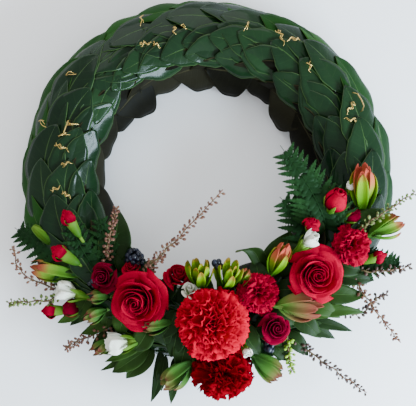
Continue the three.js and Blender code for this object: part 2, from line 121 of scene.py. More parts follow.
class Cuttings:  # gathers thin sheets, tubes and balls into one mesh
    def __init__(self):
        self.points, self.faces, self.grain, self.under, self.finish = [], [], [], [], []
        self.count = 0

    def keep(self, points, faces, grain, under, finish):
        self.points.append(points)
        self.faces += [tuple(corner + self.count for corner in face) for face in faces]
        self.grain.append(grain)
        self.under.append(under)
        self.finish += [finish] * len(faces)
        self.count += len(points)

    # A closed thin sheet. place(u, v) gives its middle, u from 0 at the foot to 1 at the tip
    # and v from -1 to 1 across. steps is how many faces it has along and across.
    def sheet(self, place, steps, thickness, tone=0.5, finish=0):
        u, v = np.meshgrid(np.linspace(0, 1, steps[0] + 1), np.linspace(-1, 1, steps[1] + 1), indexing="ij")
        middle = place(u, v)
        normal = np.cross(np.gradient(middle, axis=0), np.gradient(middle, axis=1))
        normal /= np.linalg.norm(normal, axis=-1, keepdims=True) + tiny
        top = (middle + normal * thickness / 2).reshape(-1, 3)
        base = (middle - normal * thickness / 2).reshape(-1, 3)
        rows, columns = u.shape
        count = rows * columns
        at = np.arange(count).reshape(rows, columns)
        a, b, c, d = at[:-1, :-1].ravel(), at[1:, :-1].ravel(), at[1:, 1:].ravel(), at[:-1, 1:].ravel()
        faces = [*zip(a, b, c, d), *zip(d + count, c + count, b + count, a + count)]
        rim = [*at[:, 0], *at[-1, 1:], *at[-2::-1, -1], *at[0, -2:0:-1]]
        faces += [(q, p, p + count, q + count) for p, q in zip(rim, rim[1:] + rim[:1])]
        grain = np.stack([u.ravel(), v.ravel(), np.full(count, tone)], axis=-1)
        under = np.concatenate([np.zeros(count), np.ones(count)])
        self.keep(np.vstack([top, base]), faces, np.vstack([grain, grain]), under, finish)

    def tube(self, path, radii, sides=7, tone=0.5, finish=0):
        path = np.array(path, float)
        radii = np.broadcast_to(np.array(radii, float), len(path))
        heading = np.gradient(path, axis=0)
        heading /= np.linalg.norm(heading, axis=1, keepdims=True) + tiny
        side = np.cross(heading[0], [0.31, 0.52, 0.79])  # any direction that no path starts along
        turns = np.linspace(0, fullTurn, sides, endpoint=False)
        rings = []
        for k, direction in enumerate(heading):
            side = unit(side - direction * side.dot(direction))
            other = np.cross(direction, side)
            circle = np.cos(turns)[:, None] * side + np.sin(turns)[:, None] * other
            rings.append(path[k] + radii[k] * circle)
        points = np.vstack([*rings, path[0], path[-1]])
        last = len(path) - 1
        faces = []
        for k in range(last):
            for i in range(sides):
                j = (i + 1) % sides
                faces.append((k * sides + i, k * sides + j, (k + 1) * sides + j, (k + 1) * sides + i))
        foot, tip = len(points) - 2, len(points) - 1
        for i in range(sides):
            j = (i + 1) % sides
            faces.append((foot, j, i))
            faces.append((tip, last * sides + i, last * sides + j))
        u = np.concatenate([np.repeat(np.linspace(0, 1, last + 1), sides), [0, 1]])
        v = np.concatenate([np.tile(np.linspace(-1, 1, sides), last + 1), [0, 0]])
        grain = np.stack([u, v, np.full(len(points), tone)], axis=-1)
        self.keep(points, faces, grain, np.zeros(len(points)), finish)

    # An egg with its long axis along direction. facets is how many faces it has round and along.
    def ball(self, centre, radius, direction, stretch, facets, tone=0.5):
        turns = np.linspace(0, math.pi, facets[1] + 1)
        path = np.stack([0 * turns, 0 * turns, -np.cos(turns) * radius * stretch], axis=-1)
        path = aimed(path, centre, direction)
        self.tube(path, np.maximum(np.sin(turns) * radius, radius * 0.02), facets[0], tone, 0)

    def build(self, name, finishNames, slot, replaces=()):
        points = np.vstack(self.points) * metre
        points[:, 0] += ring["centre"][0]
        points[:, 1] += ring["centre"][1]
        mesh = bpy.data.meshes.new(name)
        mesh.from_pydata(points.tolist(), [], self.faces)
        grain = mesh.attributes.new("grain", "FLOAT_VECTOR", "POINT")
        grain.data.foreach_set("vector", np.vstack(self.grain).astype(np.float32).ravel())
        under = mesh.attributes.new("under", "FLOAT", "POINT")
        under.data.foreach_set("value", np.concatenate(self.under).astype(np.float32))
        for finish in finishNames:
            mesh.materials.append(finishes[finish])
        mesh.polygons.foreach_set("material_index", self.finish)
        mesh.polygons.foreach_set("use_smooth", [True] * len(mesh.polygons))
        mesh.update()
        piece = bpy.data.objects.new(name, mesh)
        bpy.context.scene.collection.objects.link(piece)
        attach(piece, "root")
        if replaces:
            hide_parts(*replaces)


class Wire:  # a socket, so that sums on values can be written as they read
    def __init__(self, finish, socket):
        self.finish, self.socket = finish, socket

    def maths(self, operation, *values):
        return self.finish.add("ShaderNodeMath", {"operation": operation}, dict(enumerate(values)))

    def __add__(self, other):
        return self.maths("ADD", self, other)

    def __radd__(self, other):
        return self.maths("ADD", other, self)

    def __sub__(self, other):
        return self.maths("SUBTRACT", self, other)

    def __rsub__(self, other):
        return self.maths("SUBTRACT", other, self)

    def __mul__(self, other):
        return self.maths("MULTIPLY", self, other)

    def __rmul__(self, other):
        return self.maths("MULTIPLY", other, self)

    def __abs__(self):
        return self.maths("ABSOLUTE", self)

    def part(self):  # what is left after the whole number
        return self.maths("FRACT", self)

    def between(self, low, high):  # 0 at low, 1 at high, smooth between
        return self.finish.add("ShaderNodeMapRange", {"interpolation_type": "SMOOTHSTEP"},
                               {"Value": self, "From Min": low, "From Max": high})


class Finish:  # one material, and the nodes that go into it
    def __init__(self, name, **surface):
        self.material = bpy.data.materials.new(name)
        self.material.use_nodes = True
        self.tree = self.material.node_tree
        self.shader = self.tree.nodes["Principled BSDF"]
        for socket, value in surface.items():
            self.shader.inputs[socket.replace("_", " ")].default_value = value

    def add(self, kind, settings=None, sockets=None, output=0):
        node = self.tree.nodes.new(kind)
        for key, value in (settings or {}).items():
            if key == "stops":
                ramp = node.color_ramp.elements
                while len(ramp) < len(value):
                    ramp.new(0.5)
                for stop, (place, colour) in zip(ramp, value):
                    stop.position, stop.color = place, (*colour, 1)
            else:
                setattr(node, key, value)
        for key, value in (sockets or {}).items():
            if isinstance(value, Wire):
                self.tree.links.new(value.socket, node.inputs[key])
            else:
                node.inputs[key].default_value = value
        return Wire(self, node.outputs[output])

    def feed(self, socket, wire):
        self.tree.links.new(wire.socket, self.shader.inputs[socket])

    def grain(self):  # along the piece, across it, and its own tone
        named = self.add("ShaderNodeAttribute", {"attribute_name": "grain"}, output="Vector")
        return [self.add("ShaderNodeSeparateXYZ", {}, {0: named}, output=k) for k in range(3)]

    def under(self):
        return self.add("ShaderNodeAttribute", {"attribute_name": "under"}, output="Fac")

    def place(self):
        return self.add("ShaderNodeTexCoord", output="Object")

    def noise(self, scale, detail=3.0, roughness=0.55):
        return self.add("ShaderNodeTexNoise", {}, {"Vector": self.place(), "Scale": scale, "Detail": detail,
                                                   "Roughness": roughness})

    def mix(self, factor, first, second, blend="MIX"):
        first, second = [c if isinstance(c, Wire) else (*c, 1) for c in (first, second)]
        return self.add("ShaderNodeMix", {"data_type": "RGBA", "blend_type": blend},
                        {0: factor, 6: first, 7: second}, output=2)

    def ramp(self, factor, stops):
        return self.add("ShaderNodeValToRGB", {"stops": stops}, {0: factor})

    def bump(self, height, distance):  # distance in metres
        self.feed("Normal", self.add("ShaderNodeBump", {}, {"Height": height, "Distance": distance}))


finishes = {}

# The waxy camellia leaf, and how the other leaves differ from it
camelliaLook = {
    "dark": (0.0030, 0.0102, 0.0042),
    "light": (0.0098, 0.0310, 0.0090),
    "young": (0.035, 0.120, 0.012),
    "vein": (0.060, 0.120, 0.030),
    "underside": (0.045, 0.050, 0.018),
    "veins": 8,
    "veinMix": 0.035,
    "midribMix": 0.42,
    "edgeMix": 0.48,
    "roughness": 0.18,
    "shine": 0.05,
    "coat": 0.15,
}
leafLooks = {
    "camelliaLeaf": camelliaLook,
    "sprayLeaf": {
        **camelliaLook, "dark": (0.005, 0.013, 0.003), "light": (0.021, 0.050, 0.006),
        "young": (0.07, 0.15, 0.02), "roughness": 0.38, "shine": 0.06, "coat": 0.0},
    # the inner wall's leaves show their brown undersides, painted darker still for the shade that falls on
    # the wall
    "innerLeaf": {
        **camelliaLook, "dark": (0.0022, 0.0022, 0.0013), "light": (0.0140, 0.0128, 0.0070),
        "vein": (0.05, 0.045, 0.020), "roughness": 0.46, "shine": 0.03, "coat": 0.0},
    "rimLeaf": {
        **camelliaLook, "dark": (0.003, 0.015, 0.004), "light": (0.012, 0.052, 0.007),
        "roughness": 0.40, "shine": 0.02, "coat": 0.0},
}


def leafFinish(name, look):
    finish = Finish(name, Coat_Weight=look["coat"], Coat_Roughness=0.10, Specular_IOR_Level=look["shine"])
    along, across, tone = finish.grain()
    side = abs(across)
    midrib = 1 - side.between(0.01, 0.045)
    lateral = ((along - side * 0.16) * look["veins"]).part()
    veinLine = 1 - abs(lateral - 0.5).between(0.0, 0.09)
    veins = veinLine * (1 - side.between(0.75, 0.98)) * along.between(0.02, 0.1)
    cloud = finish.noise(38, 4)
    # tone holds each leaf's own random tone and, on some leaves, painted shade set through a low tone
    shade = (tone * 0.75 + cloud * 0.5 - 0.12).between(0.05, 0.95)
    blade = finish.mix(shade, look["dark"], look["light"])
    blade = finish.mix(tone.between(0.86, 0.98), blade, look["young"])
    blade = finish.mix(veins * look["veinMix"], blade, look["vein"])
    blade = finish.mix(midrib * look["midribMix"], blade, look["vein"])
    blade = finish.mix(side.between(0.955, 0.988) * look["edgeMix"], blade, look["vein"])
    dim, bright = [tuple(share * c for c in look["underside"]) for share in (0.55, 1.9)]
    beneath = finish.mix(cloud, dim, look["underside"])
    beneath = finish.mix(midrib * 0.7 + veins * 0.3, beneath, bright)
    under = finish.under().between(0.3, 0.7)
    finish.feed("Base Color", finish.mix(under, blade, beneath))
    edge = side.between(0.90, 0.98)
    finish.feed("Roughness", look["roughness"] + under * 0.25 + cloud * 0.10 + edge * 0.30)
    pits = finish.noise(900, 2)
    finish.bump(pits * 0.05 - midrib * 0.6 - veins * 0.10 + cloud * 0.5, 0.0006)
    return finish.material


for name, look in leafLooks.items():
    finishes[name] = leafFinish(name, look)

# Petals: the colour at the foot, over the body, at the rim and in the streaks
velvet = {"roughness": 0.62, "streaks": 60, "shine": 0.0}
crumpled = {"roughness": 0.6, "streaks": 40, "shine": 0.0}
petalLooks = {
    "rosePetal": {"foot": (0.045, 0.0, 0.003), "body": (0.35, 0.0, 0.020), "rim": (0.38, 0.0, 0.024),
                  "deep": (0.12, 0.0, 0.007), **velvet},
    "darkRosePetal": {"foot": (0.020, 0.0, 0.002), "body": (0.15, 0.0, 0.013), "rim": (0.27, 0.008, 0.040),
                      "deep": (0.05, 0.0, 0.005), **velvet},
    "carnationPetal": {"foot": (0.12, 0.0, 0.004), "body": (0.46, 0.0, 0.018), "rim": (0.50, 0.0, 0.020),
                       "deep": (0.19, 0.0, 0.007), **crumpled},
    "crimsonPetal": {"foot": (0.08, 0.0, 0.005), "body": (0.31, 0.0, 0.019), "rim": (0.36, 0.0, 0.024),
                     "deep": (0.11, 0.0, 0.008), **crumpled},
    # painted shade: a darker copy of the carnation petal for the low carnation, which faces down, away from
    # the light
    "darkCarnationPetal": {"foot": (0.03, 0.0, 0.001), "body": (0.19, 0.0, 0.005), "rim": (0.22, 0.0, 0.007),
                           "deep": (0.07, 0.0, 0.002), **crumpled},
    "whitePetal": {"foot": (0.34, 0.44, 0.20), "body": (0.74, 0.73, 0.64), "rim": (0.84, 0.82, 0.75),
                   "deep": (0.46, 0.50, 0.34), "roughness": 0.5, "streaks": 24, "shine": 0.05},
}


def petalFinish(name, look):
    finish = Finish(name, Specular_IOR_Level=look["shine"])
    along, across, tone = finish.grain()
    drawnOut = finish.add("ShaderNodeCombineXYZ", {}, {0: across * look["streaks"], 1: along * 4 + tone * 30})
    fibre = finish.add("ShaderNodeTexNoise", {"noise_dimensions": "2D"},
                       {"Vector": drawnOut, "Scale": 1.0, "Detail": 2.0})
    cloud = finish.noise(70, 3)
    colour = finish.mix(along.between(0.1, 0.7), look["foot"], look["body"])
    colour = finish.mix((along - 0.15 * abs(across)).between(0.86, 1.0) * 0.6, colour, look["rim"])
    colour = finish.mix((fibre * 0.5 + cloud * 0.5).between(0.35, 0.75) * 0.45, colour, look["deep"])
    colour = finish.mix((tone - 0.5).between(0.0, 0.5) * 0.35, colour, look["deep"])
    finish.feed("Base Color", colour)
    finish.feed("Roughness", look["roughness"] + cloud * 0.12)
    finish.bump(fibre * 0.8 + cloud * 0.6, 0.0004)
    return finish.material


for name, look in petalLooks.items():
    finishes[name] = petalFinish(name, look)

# Greenery that changes colour from foot to tip, as stops along its length
smoothGreen = {"roughness": 0.45, "coat": 0.1, "cloudScale": 90, "ribs": 0.0}
ribbedGreen = {"roughness": 0.5, "coat": 0.0, "cloudScale": 60, "ribs": 0.5, "shine": 0.08}
budSkin = {**smoothGreen, "roughness": 0.5, "shine": 0.15}
growthLooks = {
    "budCalyx": {**smoothGreen, "coat": 0.0, "shine": 0.06, "stops": [
        (0.0, (0.025, 0.085, 0.006)), (0.6, (0.055, 0.135, 0.008)), (1.0, (0.10, 0.185, 0.02))]},
    "flowerStem": {**smoothGreen, "shine": 0.1, "stops": [
        (0.0, (0.025, 0.075, 0.012)), (1.0, (0.08, 0.18, 0.03))]},
    "greenBract": {**ribbedGreen, "stops": [
        (0.0, (0.025, 0.085, 0.008)), (0.5, (0.07, 0.19, 0.012)), (0.80, (0.15, 0.25, 0.02)),
        (0.93, (0.26, 0.11, 0.03)), (1.0, (0.22, 0.035, 0.02))]},
    "limeBract": {**ribbedGreen, "shine": 0.05, "stops": [
        (0.0, (0.02, 0.08, 0.002)), (0.5, (0.085, 0.21, 0.002)), (0.90, (0.17, 0.30, 0.003)),
        (1.0, (0.26, 0.15, 0.02))]},
    "sunsetBract": {**ribbedGreen, "stops": [
        (0.0, (0.05, 0.16, 0.004)), (0.42, (0.18, 0.24, 0.01)), (0.70, (0.42, 0.13, 0.035)),
        (1.0, (0.42, 0.060, 0.035))]},
    "darkBract": {**ribbedGreen, "stops": [
        (0.0, (0.018, 0.065, 0.010)), (0.65, (0.045, 0.13, 0.015)), (0.94, (0.11, 0.11, 0.025)),
        (1.0, (0.13, 0.035, 0.022))]},
    "rustBract": {**ribbedGreen, "stops": [
        (0.0, (0.06, 0.17, 0.02)), (0.45, (0.17, 0.13, 0.04)), (1.0, (0.20, 0.045, 0.028))]},
    "fernFrond": {**ribbedGreen, "ribs": 0.4, "shine": 0.05, "stops": [
        (0.0, (0.006, 0.023, 0.006)), (1.0, (0.013, 0.048, 0.011))]},
    "sprigBud": {**budSkin, "stops": [
        (0.0, (0.13, 0.07, 0.035)), (0.5, (0.18, 0.075, 0.045)), (1.0, (0.05, 0.018, 0.015))]},
    "greenSprigBud": {**budSkin, "stops": [
        (0.0, (0.06, 0.11, 0.02)), (0.7, (0.15, 0.20, 0.05)), (1.0, (0.07, 0.03, 0.02))]},
    "limeSprigBud": {**budSkin, "stops": [(0.0, (0.12, 0.26, 0.01)), (1.0, (0.26, 0.42, 0.04))]},
    "darkSprigBud": {**budSkin, "shine": 0.3, "stops": [
        (0.0, (0.04, 0.03, 0.015)), (1.0, (0.07, 0.03, 0.025))]},
    "sprigTwig": {**budSkin, "roughness": 0.55, "stops": [
        (0.0, (0.09, 0.08, 0.03)), (1.0, (0.17, 0.075, 0.045))]},
}


def growthFinish(name, look):
    finish = Finish(name, Coat_Weight=look["coat"], Coat_Roughness=0.2, Specular_IOR_Level=look["shine"])
    along, across, tone = finish.grain()
    cloud = finish.noise(look["cloudScale"], 4)
    colour = finish.ramp((along + (cloud - 0.5) * 0.22 + (tone - 0.5) * 0.16).between(0, 1), look["stops"])
    colour = finish.mix(0.25 + 0.35 * cloud, colour, (0.7, 0.7, 0.7), "MULTIPLY")
    finish.feed("Base Color", colour)
    finish.feed("Roughness", look["roughness"] + cloud * 0.15)
    height = cloud * 0.7
    if look["ribs"]:
        height = height + (abs(across) * 3 + 0.5).part() * look["ribs"]
    finish.bump(height, 0.0005)
    return finish.material


for name, look in growthLooks.items():
    finishes[name] = growthFinish(name, look)


def foamFinish():
    finish = Finish("foamCells", Specular_IOR_Level=0.15)
    cells = finish.add("ShaderNodeTexVoronoi", {}, {"Vector": finish.place(), "Scale": 900})
    coarse = finish.noise(60, 5)
    pit, wall, dull = (0.015, 0.050, 0.022), (0.060, 0.150, 0.070), (0.03, 0.08, 0.035)
    colour = finish.mix(cells.between(0.0, 0.7), pit, wall)
    finish.feed("Base Color", finish.mix(coarse.between(0.35, 0.7) * 0.6, colour, dull))
    finish.feed("Roughness", 0.85 + coarse * 0.1)
    finish.bump(cells + coarse * 0.6, 0.0008)
    return finish.material


def trayFinish():
    finish = Finish("trayPlastic", Coat_Weight=0.1)
    mottle = finish.noise(240, 3)
    scuffs = finish.noise(14, 6, 0.7)
    plastic, scuffed = (0.010, 0.022, 0.014), (0.035, 0.050, 0.040)
    finish.feed("Base Color", finish.mix(scuffs.between(0.5, 0.75) * 0.5, plastic, scuffed))
    finish.feed("Roughness", 0.34 + scuffs * 0.25)
    finish.bump(mottle, 0.0002)
    return finish.material


def wireFinish():
    finish = Finish("pinWire", Metallic=1.0)
    wear = finish.noise(400, 4)
    brass, tarnish = (0.58, 0.39, 0.12), (0.26, 0.17, 0.05)
    finish.feed("Base Color", finish.mix(wear.between(0.4, 0.7) * 0.5, brass, tarnish))
    finish.feed("Roughness", 0.22 + wear * 0.2)
    finish.bump(wear, 0.0001)
    return finish.material


def berryFinish():
    finish = Finish("berrySkin", Coat_Weight=0.15, Coat_Roughness=0.15, Specular_IOR_Level=0.3)
    bloom = finish.noise(120, 3)
    skin, dusty = (0.0012, 0.0018, 0.006), (0.007, 0.011, 0.028)
    finish.feed("Base Color", finish.mix(bloom.between(0.4, 0.75), skin, dusty))
    finish.feed("Roughness", 0.2 + bloom * 0.35)
    finish.bump(bloom, 0.0002)
    return finish.material


finishes["foam"] = foamFinish()
finishes["tray"] = trayFinish()
finishes["wire"] = wireFinish()
finishes["berrySkin"] = berryFinish()
print("finishes made:", len(finishes))

# The CAD solids that stay as they are, and what they are made of
keptSolids = {"foam_ring": "foam", "base_tray": "tray", "greening_pin_left": "wire",
              "greening_pin_right": "wire"}
for node, finish in keptSolids.items():
    mesh = nodes[node].data
    mesh.materials.clear()
    mesh.materials.append(finishes[finish])


def pieceName(node):  # rose_left becomes roseLeft
    first, *rest = node.split("_")
    return first + "".join(word.capitalize() for word in rest)


anyPhase = 6.28  # the range that waves start in
leafShape = {
    "thickness": 0.42,
    "steps": (22, 10),
    "plainSteps": (12, 6),   # for leaves that lie mostly under others
    "swell": 0.62,           # how the blade widens from its foot
    "narrow": 0.93,          # how it narrows to its tip
    "fullest": 0.353,        # what swell and narrow come to where the blade is widest
    "point": 0.028,
    "over": 8,               # how far over the foam a leaf lies on average
    "lift": 3.0,             # how far its foot stands off the foam
    "rise": 0.150,           # and how fast it rises towards its tip
    "teeth": 26,
    "toothDepth": 0.026,
    "tuck": 1.6,             # how far the tip bends back down
    "fold": 0.04,
    "flatten": 0.38,         # 0 follows the tube across, 1 lies flat across
    "bow": 0.05,
    "wave": 0.4,
    "waves": (15, 9),        # its edges wave against each other, and together
    "skirtPast": 5,          # the skirt starts this far past the midrib
    "brimShort": 3,          # and the brim this far short of it
    "lowest": 0.7,           # leaves that reach the ground lie on it
}


def leafOutline(u, width):
    body = np.clip(u, 0, 1) ** leafShape["swell"] * np.clip(1 - u, 0, 1) ** leafShape["narrow"]
    return width / 2 * np.maximum(body / leafShape["fullest"], leafShape["point"])


# tip and foot are (angle round the ring, angle around the tube). skirt lifts the edge on the
# hole's side away from the foam, and brim the edge on the outer side.
def ringLeaf(cuttings, tip, foot, width, lift, tone, seed, finish=0, rise=leafShape["rise"],
             wave=leafShape["wave"], skirt=0.0, brim=0.0, steps=leafShape["plainSteps"]):
    rng = np.random.default_rng(seed)
    phase = rng.uniform(0, anyPhase, 3)
    wave = wave * rng.uniform(0.6, 1.5)
    tipTurn, tipAround, footTurn, footAround = np.radians([*tip, *foot])
    tube = ring["tubeRadius"] + leafShape["over"]
    ringward = ring["meanRadius"] + tube * math.sin((tipAround + footAround) / 2)
    run = np.array([(tipTurn - footTurn) * ringward, (tipAround - footAround) * tube])
    length = np.linalg.norm(run)
    heading = run / length
    span = abs(tipTurn - footTurn) * ring["meanRadius"]  # rows stay in step when all leaves rise by angle
    bow = rng.uniform(-leafShape["bow"], leafShape["bow"]) * length

    def place(u, v):
        outline = leafOutline(u, width)
        teeth = ((u * leafShape["teeth"]) % 1.0) * leafShape["toothDepth"] * width * (skirt <= 0)
        reach = v * (outline + teeth * smooth(0.1, 0.2, u) * np.abs(v) ** 4) + bow * (4 * u * (1 - u))
        around = footAround + (tipAround - footAround) * u - heading[0] * reach / tube
        turn = footTurn + (tipTurn - footTurn) * u + heading[1] * reach / ringward
        out = leafShape["lift"] + lift + rise * span * u + leafShape["fold"] * np.abs(v) * outline
        out = out + leafShape["flatten"] * reach ** 2 / (2 * (tube + 2))
        out = out + skirt * np.maximum(heading[0] * reach + leafShape["skirtPast"], 0)
        out = out + brim * np.maximum(-heading[0] * reach - leafShape["brimShort"], 0)
        against, together = [np.sin(u * waves + start) for waves, start in zip(leafShape["waves"], phase)]
        out = out + wave * v ** 2 * (against * np.sign(v) + together)
        points = overTube(turn, around, out - leafShape["tuck"] * u ** 5)
        points[..., 2] = np.maximum(points[..., 2], leafShape["lowest"])
        return points

    cuttings.sheet(place, steps, leafShape["thickness"], tone, finish)


# Leaves that show, each as tip, foot, width, extra lift and tone. The left run's tips point
# clockwise, the others anticlockwise.
leftLeaves = [
    ((173, 30), (201, 30), 43, 0.0, 0.35), ((172, -16), (200, -12), 38, 0.6, 0.30),
    ((160, 18), (188, 26), 44, 0.4, 0.25), ((158, -18), (186, -16), 36, 0.9, 0.30),
    ((144, 46), (171, 42), 40, 0.0, 0.40), ((142, 0), (169, 6), 42, 0.8, 0.20),
    ((136, 60), (163, 54), 36, 1.6, 0.45), ((124, 78), (150, 64), 40, 1.4, 0.55),
    ((184, 66), (211, 62), 40, 0.2, 0.80), ((166, 70), (193, 66), 38, 0.4, 0.50),
    ((151, 84), (178, 80), 38, 0.3, 0.60), ((131, 26), (158, 22), 40, 2.2, 0.30),
    ((186, 8), (214, 8), 42, 0.3, 0.30), ((187, -34), (214, -30), 38, 0.2, 0.25),
    ((170, -52), (198, -48), 36, 0.2, 0.30), ((198, 34), (226, 30), 42, 0.1, 0.35),
    ((199, -10), (227, -10), 42, 0.5, 0.35), ((128, 108), (154, 104), 36, 0.4, 0.50),
    ((146, 108), (173, 106), 36, 0.4, 0.55), ((164, 110), (190, 106), 36, 0.4, 0.50),
    ((182, 110), (208, 106), 36, 0.4, 0.50), ((198, 84), (224, 82), 40, 0.6, 0.55),
    ((126, 52), (152, 46), 42, 0.2, 0.35), ((130, -22), (156, -30), 40, -0.4, 0.30),
    ((141, -48), (168, -44), 40, -0.6, 0.35), ((156, -46), (183, -44), 38, 0.0, 0.30),
    ((185, -58), (212, -54), 38, 0.0, 0.35), ((123, 94), (150, 86), 42, 0.4, 0.60),
]
rightLeaves = [
    ((138, 16), (112, 12), 34, 0.6, 0.25), ((139, 6), (114, -4), 30, 0.0, 0.55),
    ((154, -54), (129, -22), 24, 1.6, 0.62), ((137, -42), (114, -26), 28, 0.8, 0.58),
    ((128, -24), (104, -18), 30, 1.2, 0.50), ((120, -32), (96, -16), 32, 0.6, 0.45),
    ((111, -44), (86, -22), 36, 0.9, 0.40), ((127, 62), (104, 72), 36, 0.4, 0.85),
    ((126, 30), (101, 30), 38, 0.2, 0.25), ((119, 2), (95, 4), 34, 0.5, 0.25),
    ((115, 62), (91, 72), 38, 0.3, 0.55), ((102, 82), (78, 86), 36, 0.4, 0.60),
    ((104, 33), (78, 24), 42, 0.2, 0.35), ((112, 22), (88, 10), 36, 0.0, 0.25),
    ((100, -20), (76, -16), 36, 0.2, 0.30), ((92, 52), (68, 54), 38, 0.2, 0.25),
    ((85, 30), (60, 40), 40, 0.4, 0.45), ((86, 12), (61, 0), 36, 0.7, 0.40),
    ((89, -8), (64, -30), 34, 0.9, 0.45), ((100, -52), (75, -44), 34, 0.6, 0.40),
    ((78, 6), (52, -22), 40, 0.3, 0.60), ((88, 90), (64, 84), 34, 0.4, 0.90),
    ((72, 60), (47, 36), 42, 0.5, 0.50), ((72, 86), (48, 84), 36, 0.2, 0.60),
    ((59, 84), (36, 80), 36, 0.4, 0.90), ((55, 36), (30, 48), 38, 0.3, 0.40),
    ((65, 8), (40, -2), 40, 0.5, 0.35), ((52, 8), (25, 8), 46, 0.3, 0.45),
    ((46, -26), (21, -26), 38, 0.5, 0.40), ((42, -32), (17, -38), 36, 0.1, 0.50),
    ((75, -40), (50, -44), 36, 0.3, 0.45), ((44, 70), (19, 66), 38, 0.4, 0.55),
    ((34, 30), (8, 34), 40, 0.4, 0.60), ((27, -20), (1, -14), 40, 0.4, 0.45),
    ((22, 24), (-4, 20), 38, 0.7, 0.62), ((21, 78), (-4, 74), 36, 0.5, 0.60),
    ((11, -14), (-15, -12), 40, 0.3, 0.62), ((10, 32), (-16, 32), 40, 0.2, 0.40),
    ((3, 82), (-22, 80), 38, 0.4, 0.60), ((-3, 4), (-29, 6), 40, 0.2, 0.40),
    ((-5, 50), (-30, 50), 40, 0.4, 0.45), ((58, -52), (33, -48), 34, 0.4, 0.40),
    ((30, -48), (5, -44), 34, 0.3, 0.45), ((14, -46), (-12, -44), 36, 0.5, 0.40),
    ((133, 44), (108, 50), 38, -0.4, 0.30), ((136, -14), (112, -10), 36, -0.2, 0.35),
    ((124, -56), (98, -50), 36, 0.2, 0.45), ((86, -56), (60, -52), 36, 0.2, 0.35),
    ((-2, -44), (-28, -44), 36, 0.2, 0.40), ((66, 44), (40, 46), 40, 0.0, 0.30),
]
# The two runs: the turns that they span, and the CAD rows that share them out
runs = {
    "left": {"leaves": leftLeaves, "from": 126, "to": 215, "tipSide": -1, "rows": 5, "firstTip": 125,
             "inward": 0.85, "lap": 1, "skirt": 0.6, "seed": 400, "sideSeed": 660},
    "right": {"leaves": rightLeaves, "from": -52, "to": 124, "tipSide": 1, "rows": 9, "firstTip": 124,
              "inward": 0.62, "lap": 26, "skirt": 1, "seed": 500, "sideSeed": 700},
}
rowPitch = 15
rowFinishes = ["camelliaLeaf", "innerLeaf", "rimLeaf"]
faceUp, innerWall, outerRim = range(3)  # which of them a leaf takes
topLeaves = {
    "widen": 1.07,
    "rimFrom": 58,              # leaves further around the tube than this are the rim's
    "shade": (0.30, 0.40),      # painted shade: how far the right-hand side's tone is taken down, for leaves that face up and at the rim
    "shadeTurns": (12, 62),
    "proud": 3,                 # the right-hand side stands a little prouder
    "proudFrom": 15,            # but not where it turns down to the hole
    "drawFrom": 35,             # leaves further around than this are drawn back from the rim
    "drawBack": 0.32,
    "skirt": (0.0, -0.12),
    "brim": (0.08, 0.26),
}
# Rows on the two sides of the tube, which close the ring below the leaves that face up
sideRows = {
    "outer": {"around": (92, 112), "drop": -4, "width": 42, "pitch": 12, "finish": outerRim, "rise": 0.06,
              "wave": 0.2, "skirt": 0.0},
    "inner": {"around": (-66, -88), "drop": 6, "width": 62, "pitch": 9, "finish": innerWall, "rise": 0.08,
              "wave": 0.5, "skirt": 0.41},
}
# tone of the side rows; the last two values set a painted shade on the ring's right-hand side
sideLook = {"lift": -1.2, "span": 27, "tone": 0.45, "toneSwing": 0.3, "darker": 0.3, "darkTo": 56}
underLayer = {"around": (-52, -14, 22, 60), "pitch": 11, "span": 24, "width": 40, "lift": -2.0,
              "tone": 0.12, "rise": 0.05, "seed": 900}
rows = {(name, k): Cuttings() for name, run in runs.items() for k in range(run["rows"])}


def rowFor(name, tipAngle):  # the CAD row that a leaf belongs to, by where its tip lies
    run = runs[name]
    index = round((run["firstTip"] - tipAngle) * run["tipSide"] / rowPitch)
    return rows[name, min(max(index, 0), run["rows"] - 1)]


def drawnIn(around, inward):  # leaves stop short of the inner wall and of the outer rim
    fromRim = topLeaves["drawBack"] * max(0, around - topLeaves["drawFrom"])
    fromWall = (1 - inward) * min(0, around)
    return around - fromRim - fromWall


for name, run in runs.items():
    for k, ((tipTurn, tipAround), (footTurn, footAround), width, lift, tone) in enumerate(run["leaves"]):
        atRim = tipAround > topLeaves["rimFrom"]
        onRight = tipTurn < topLeaves["shadeTurns"][1]
        lift += topLeaves["proud"] if onRight and tipAround > topLeaves["proudFrom"] else 0
        # painted shade: leaves towards the ring's right-hand side take a lower tone
        tone -= topLeaves["shade"][atRim] * (1 - smooth(*topLeaves["shadeTurns"], tipTurn))
        ringLeaf(rowFor(name, tipTurn), (tipTurn, drawnIn(tipAround, run["inward"])),
                 (footTurn, drawnIn(footAround, run["inward"])), topLeaves["widen"] * width, lift, tone,
                 run["seed"] + k, outerRim if atRim else faceUp, skirt=topLeaves["skirt"][atRim],
                 brim=topLeaves["brim"][atRim], steps=leafShape["steps"])

for side in sideRows.values():
    for name, run in runs.items():
        for k, tipAngle in enumerate(np.arange(run["from"], run["to"] + run["lap"], side["pitch"])):
            around = side["around"][k % 2]
            tone = sideLook["tone"] + sideLook["toneSwing"] * math.sin(k * 2.3 + 5)
            # painted shade: side rows on the ring's right-hand side take a lower tone
            if name == "right" and tipAngle < sideLook["darkTo"]:
                tone -= sideLook["darker"]
            tip = (tipAngle + 2.5 * math.sin(k * 3.1), around + 4 * math.sin(k * 1.3))
            foot = (tipAngle - sideLook["span"] * run["tipSide"], around + side["drop"])
            skirt = side["skirt"] * (1 + 0.38 * math.sin(k * 1.15 + 1)) * run["skirt"]
            ringLeaf(rowFor(name, tipAngle), tip, foot, side["width"], sideLook["lift"], tone,
                     run["sideSeed"] + k, side["finish"], side["rise"], side["wave"], skirt,
                     steps=leafShape["steps"])

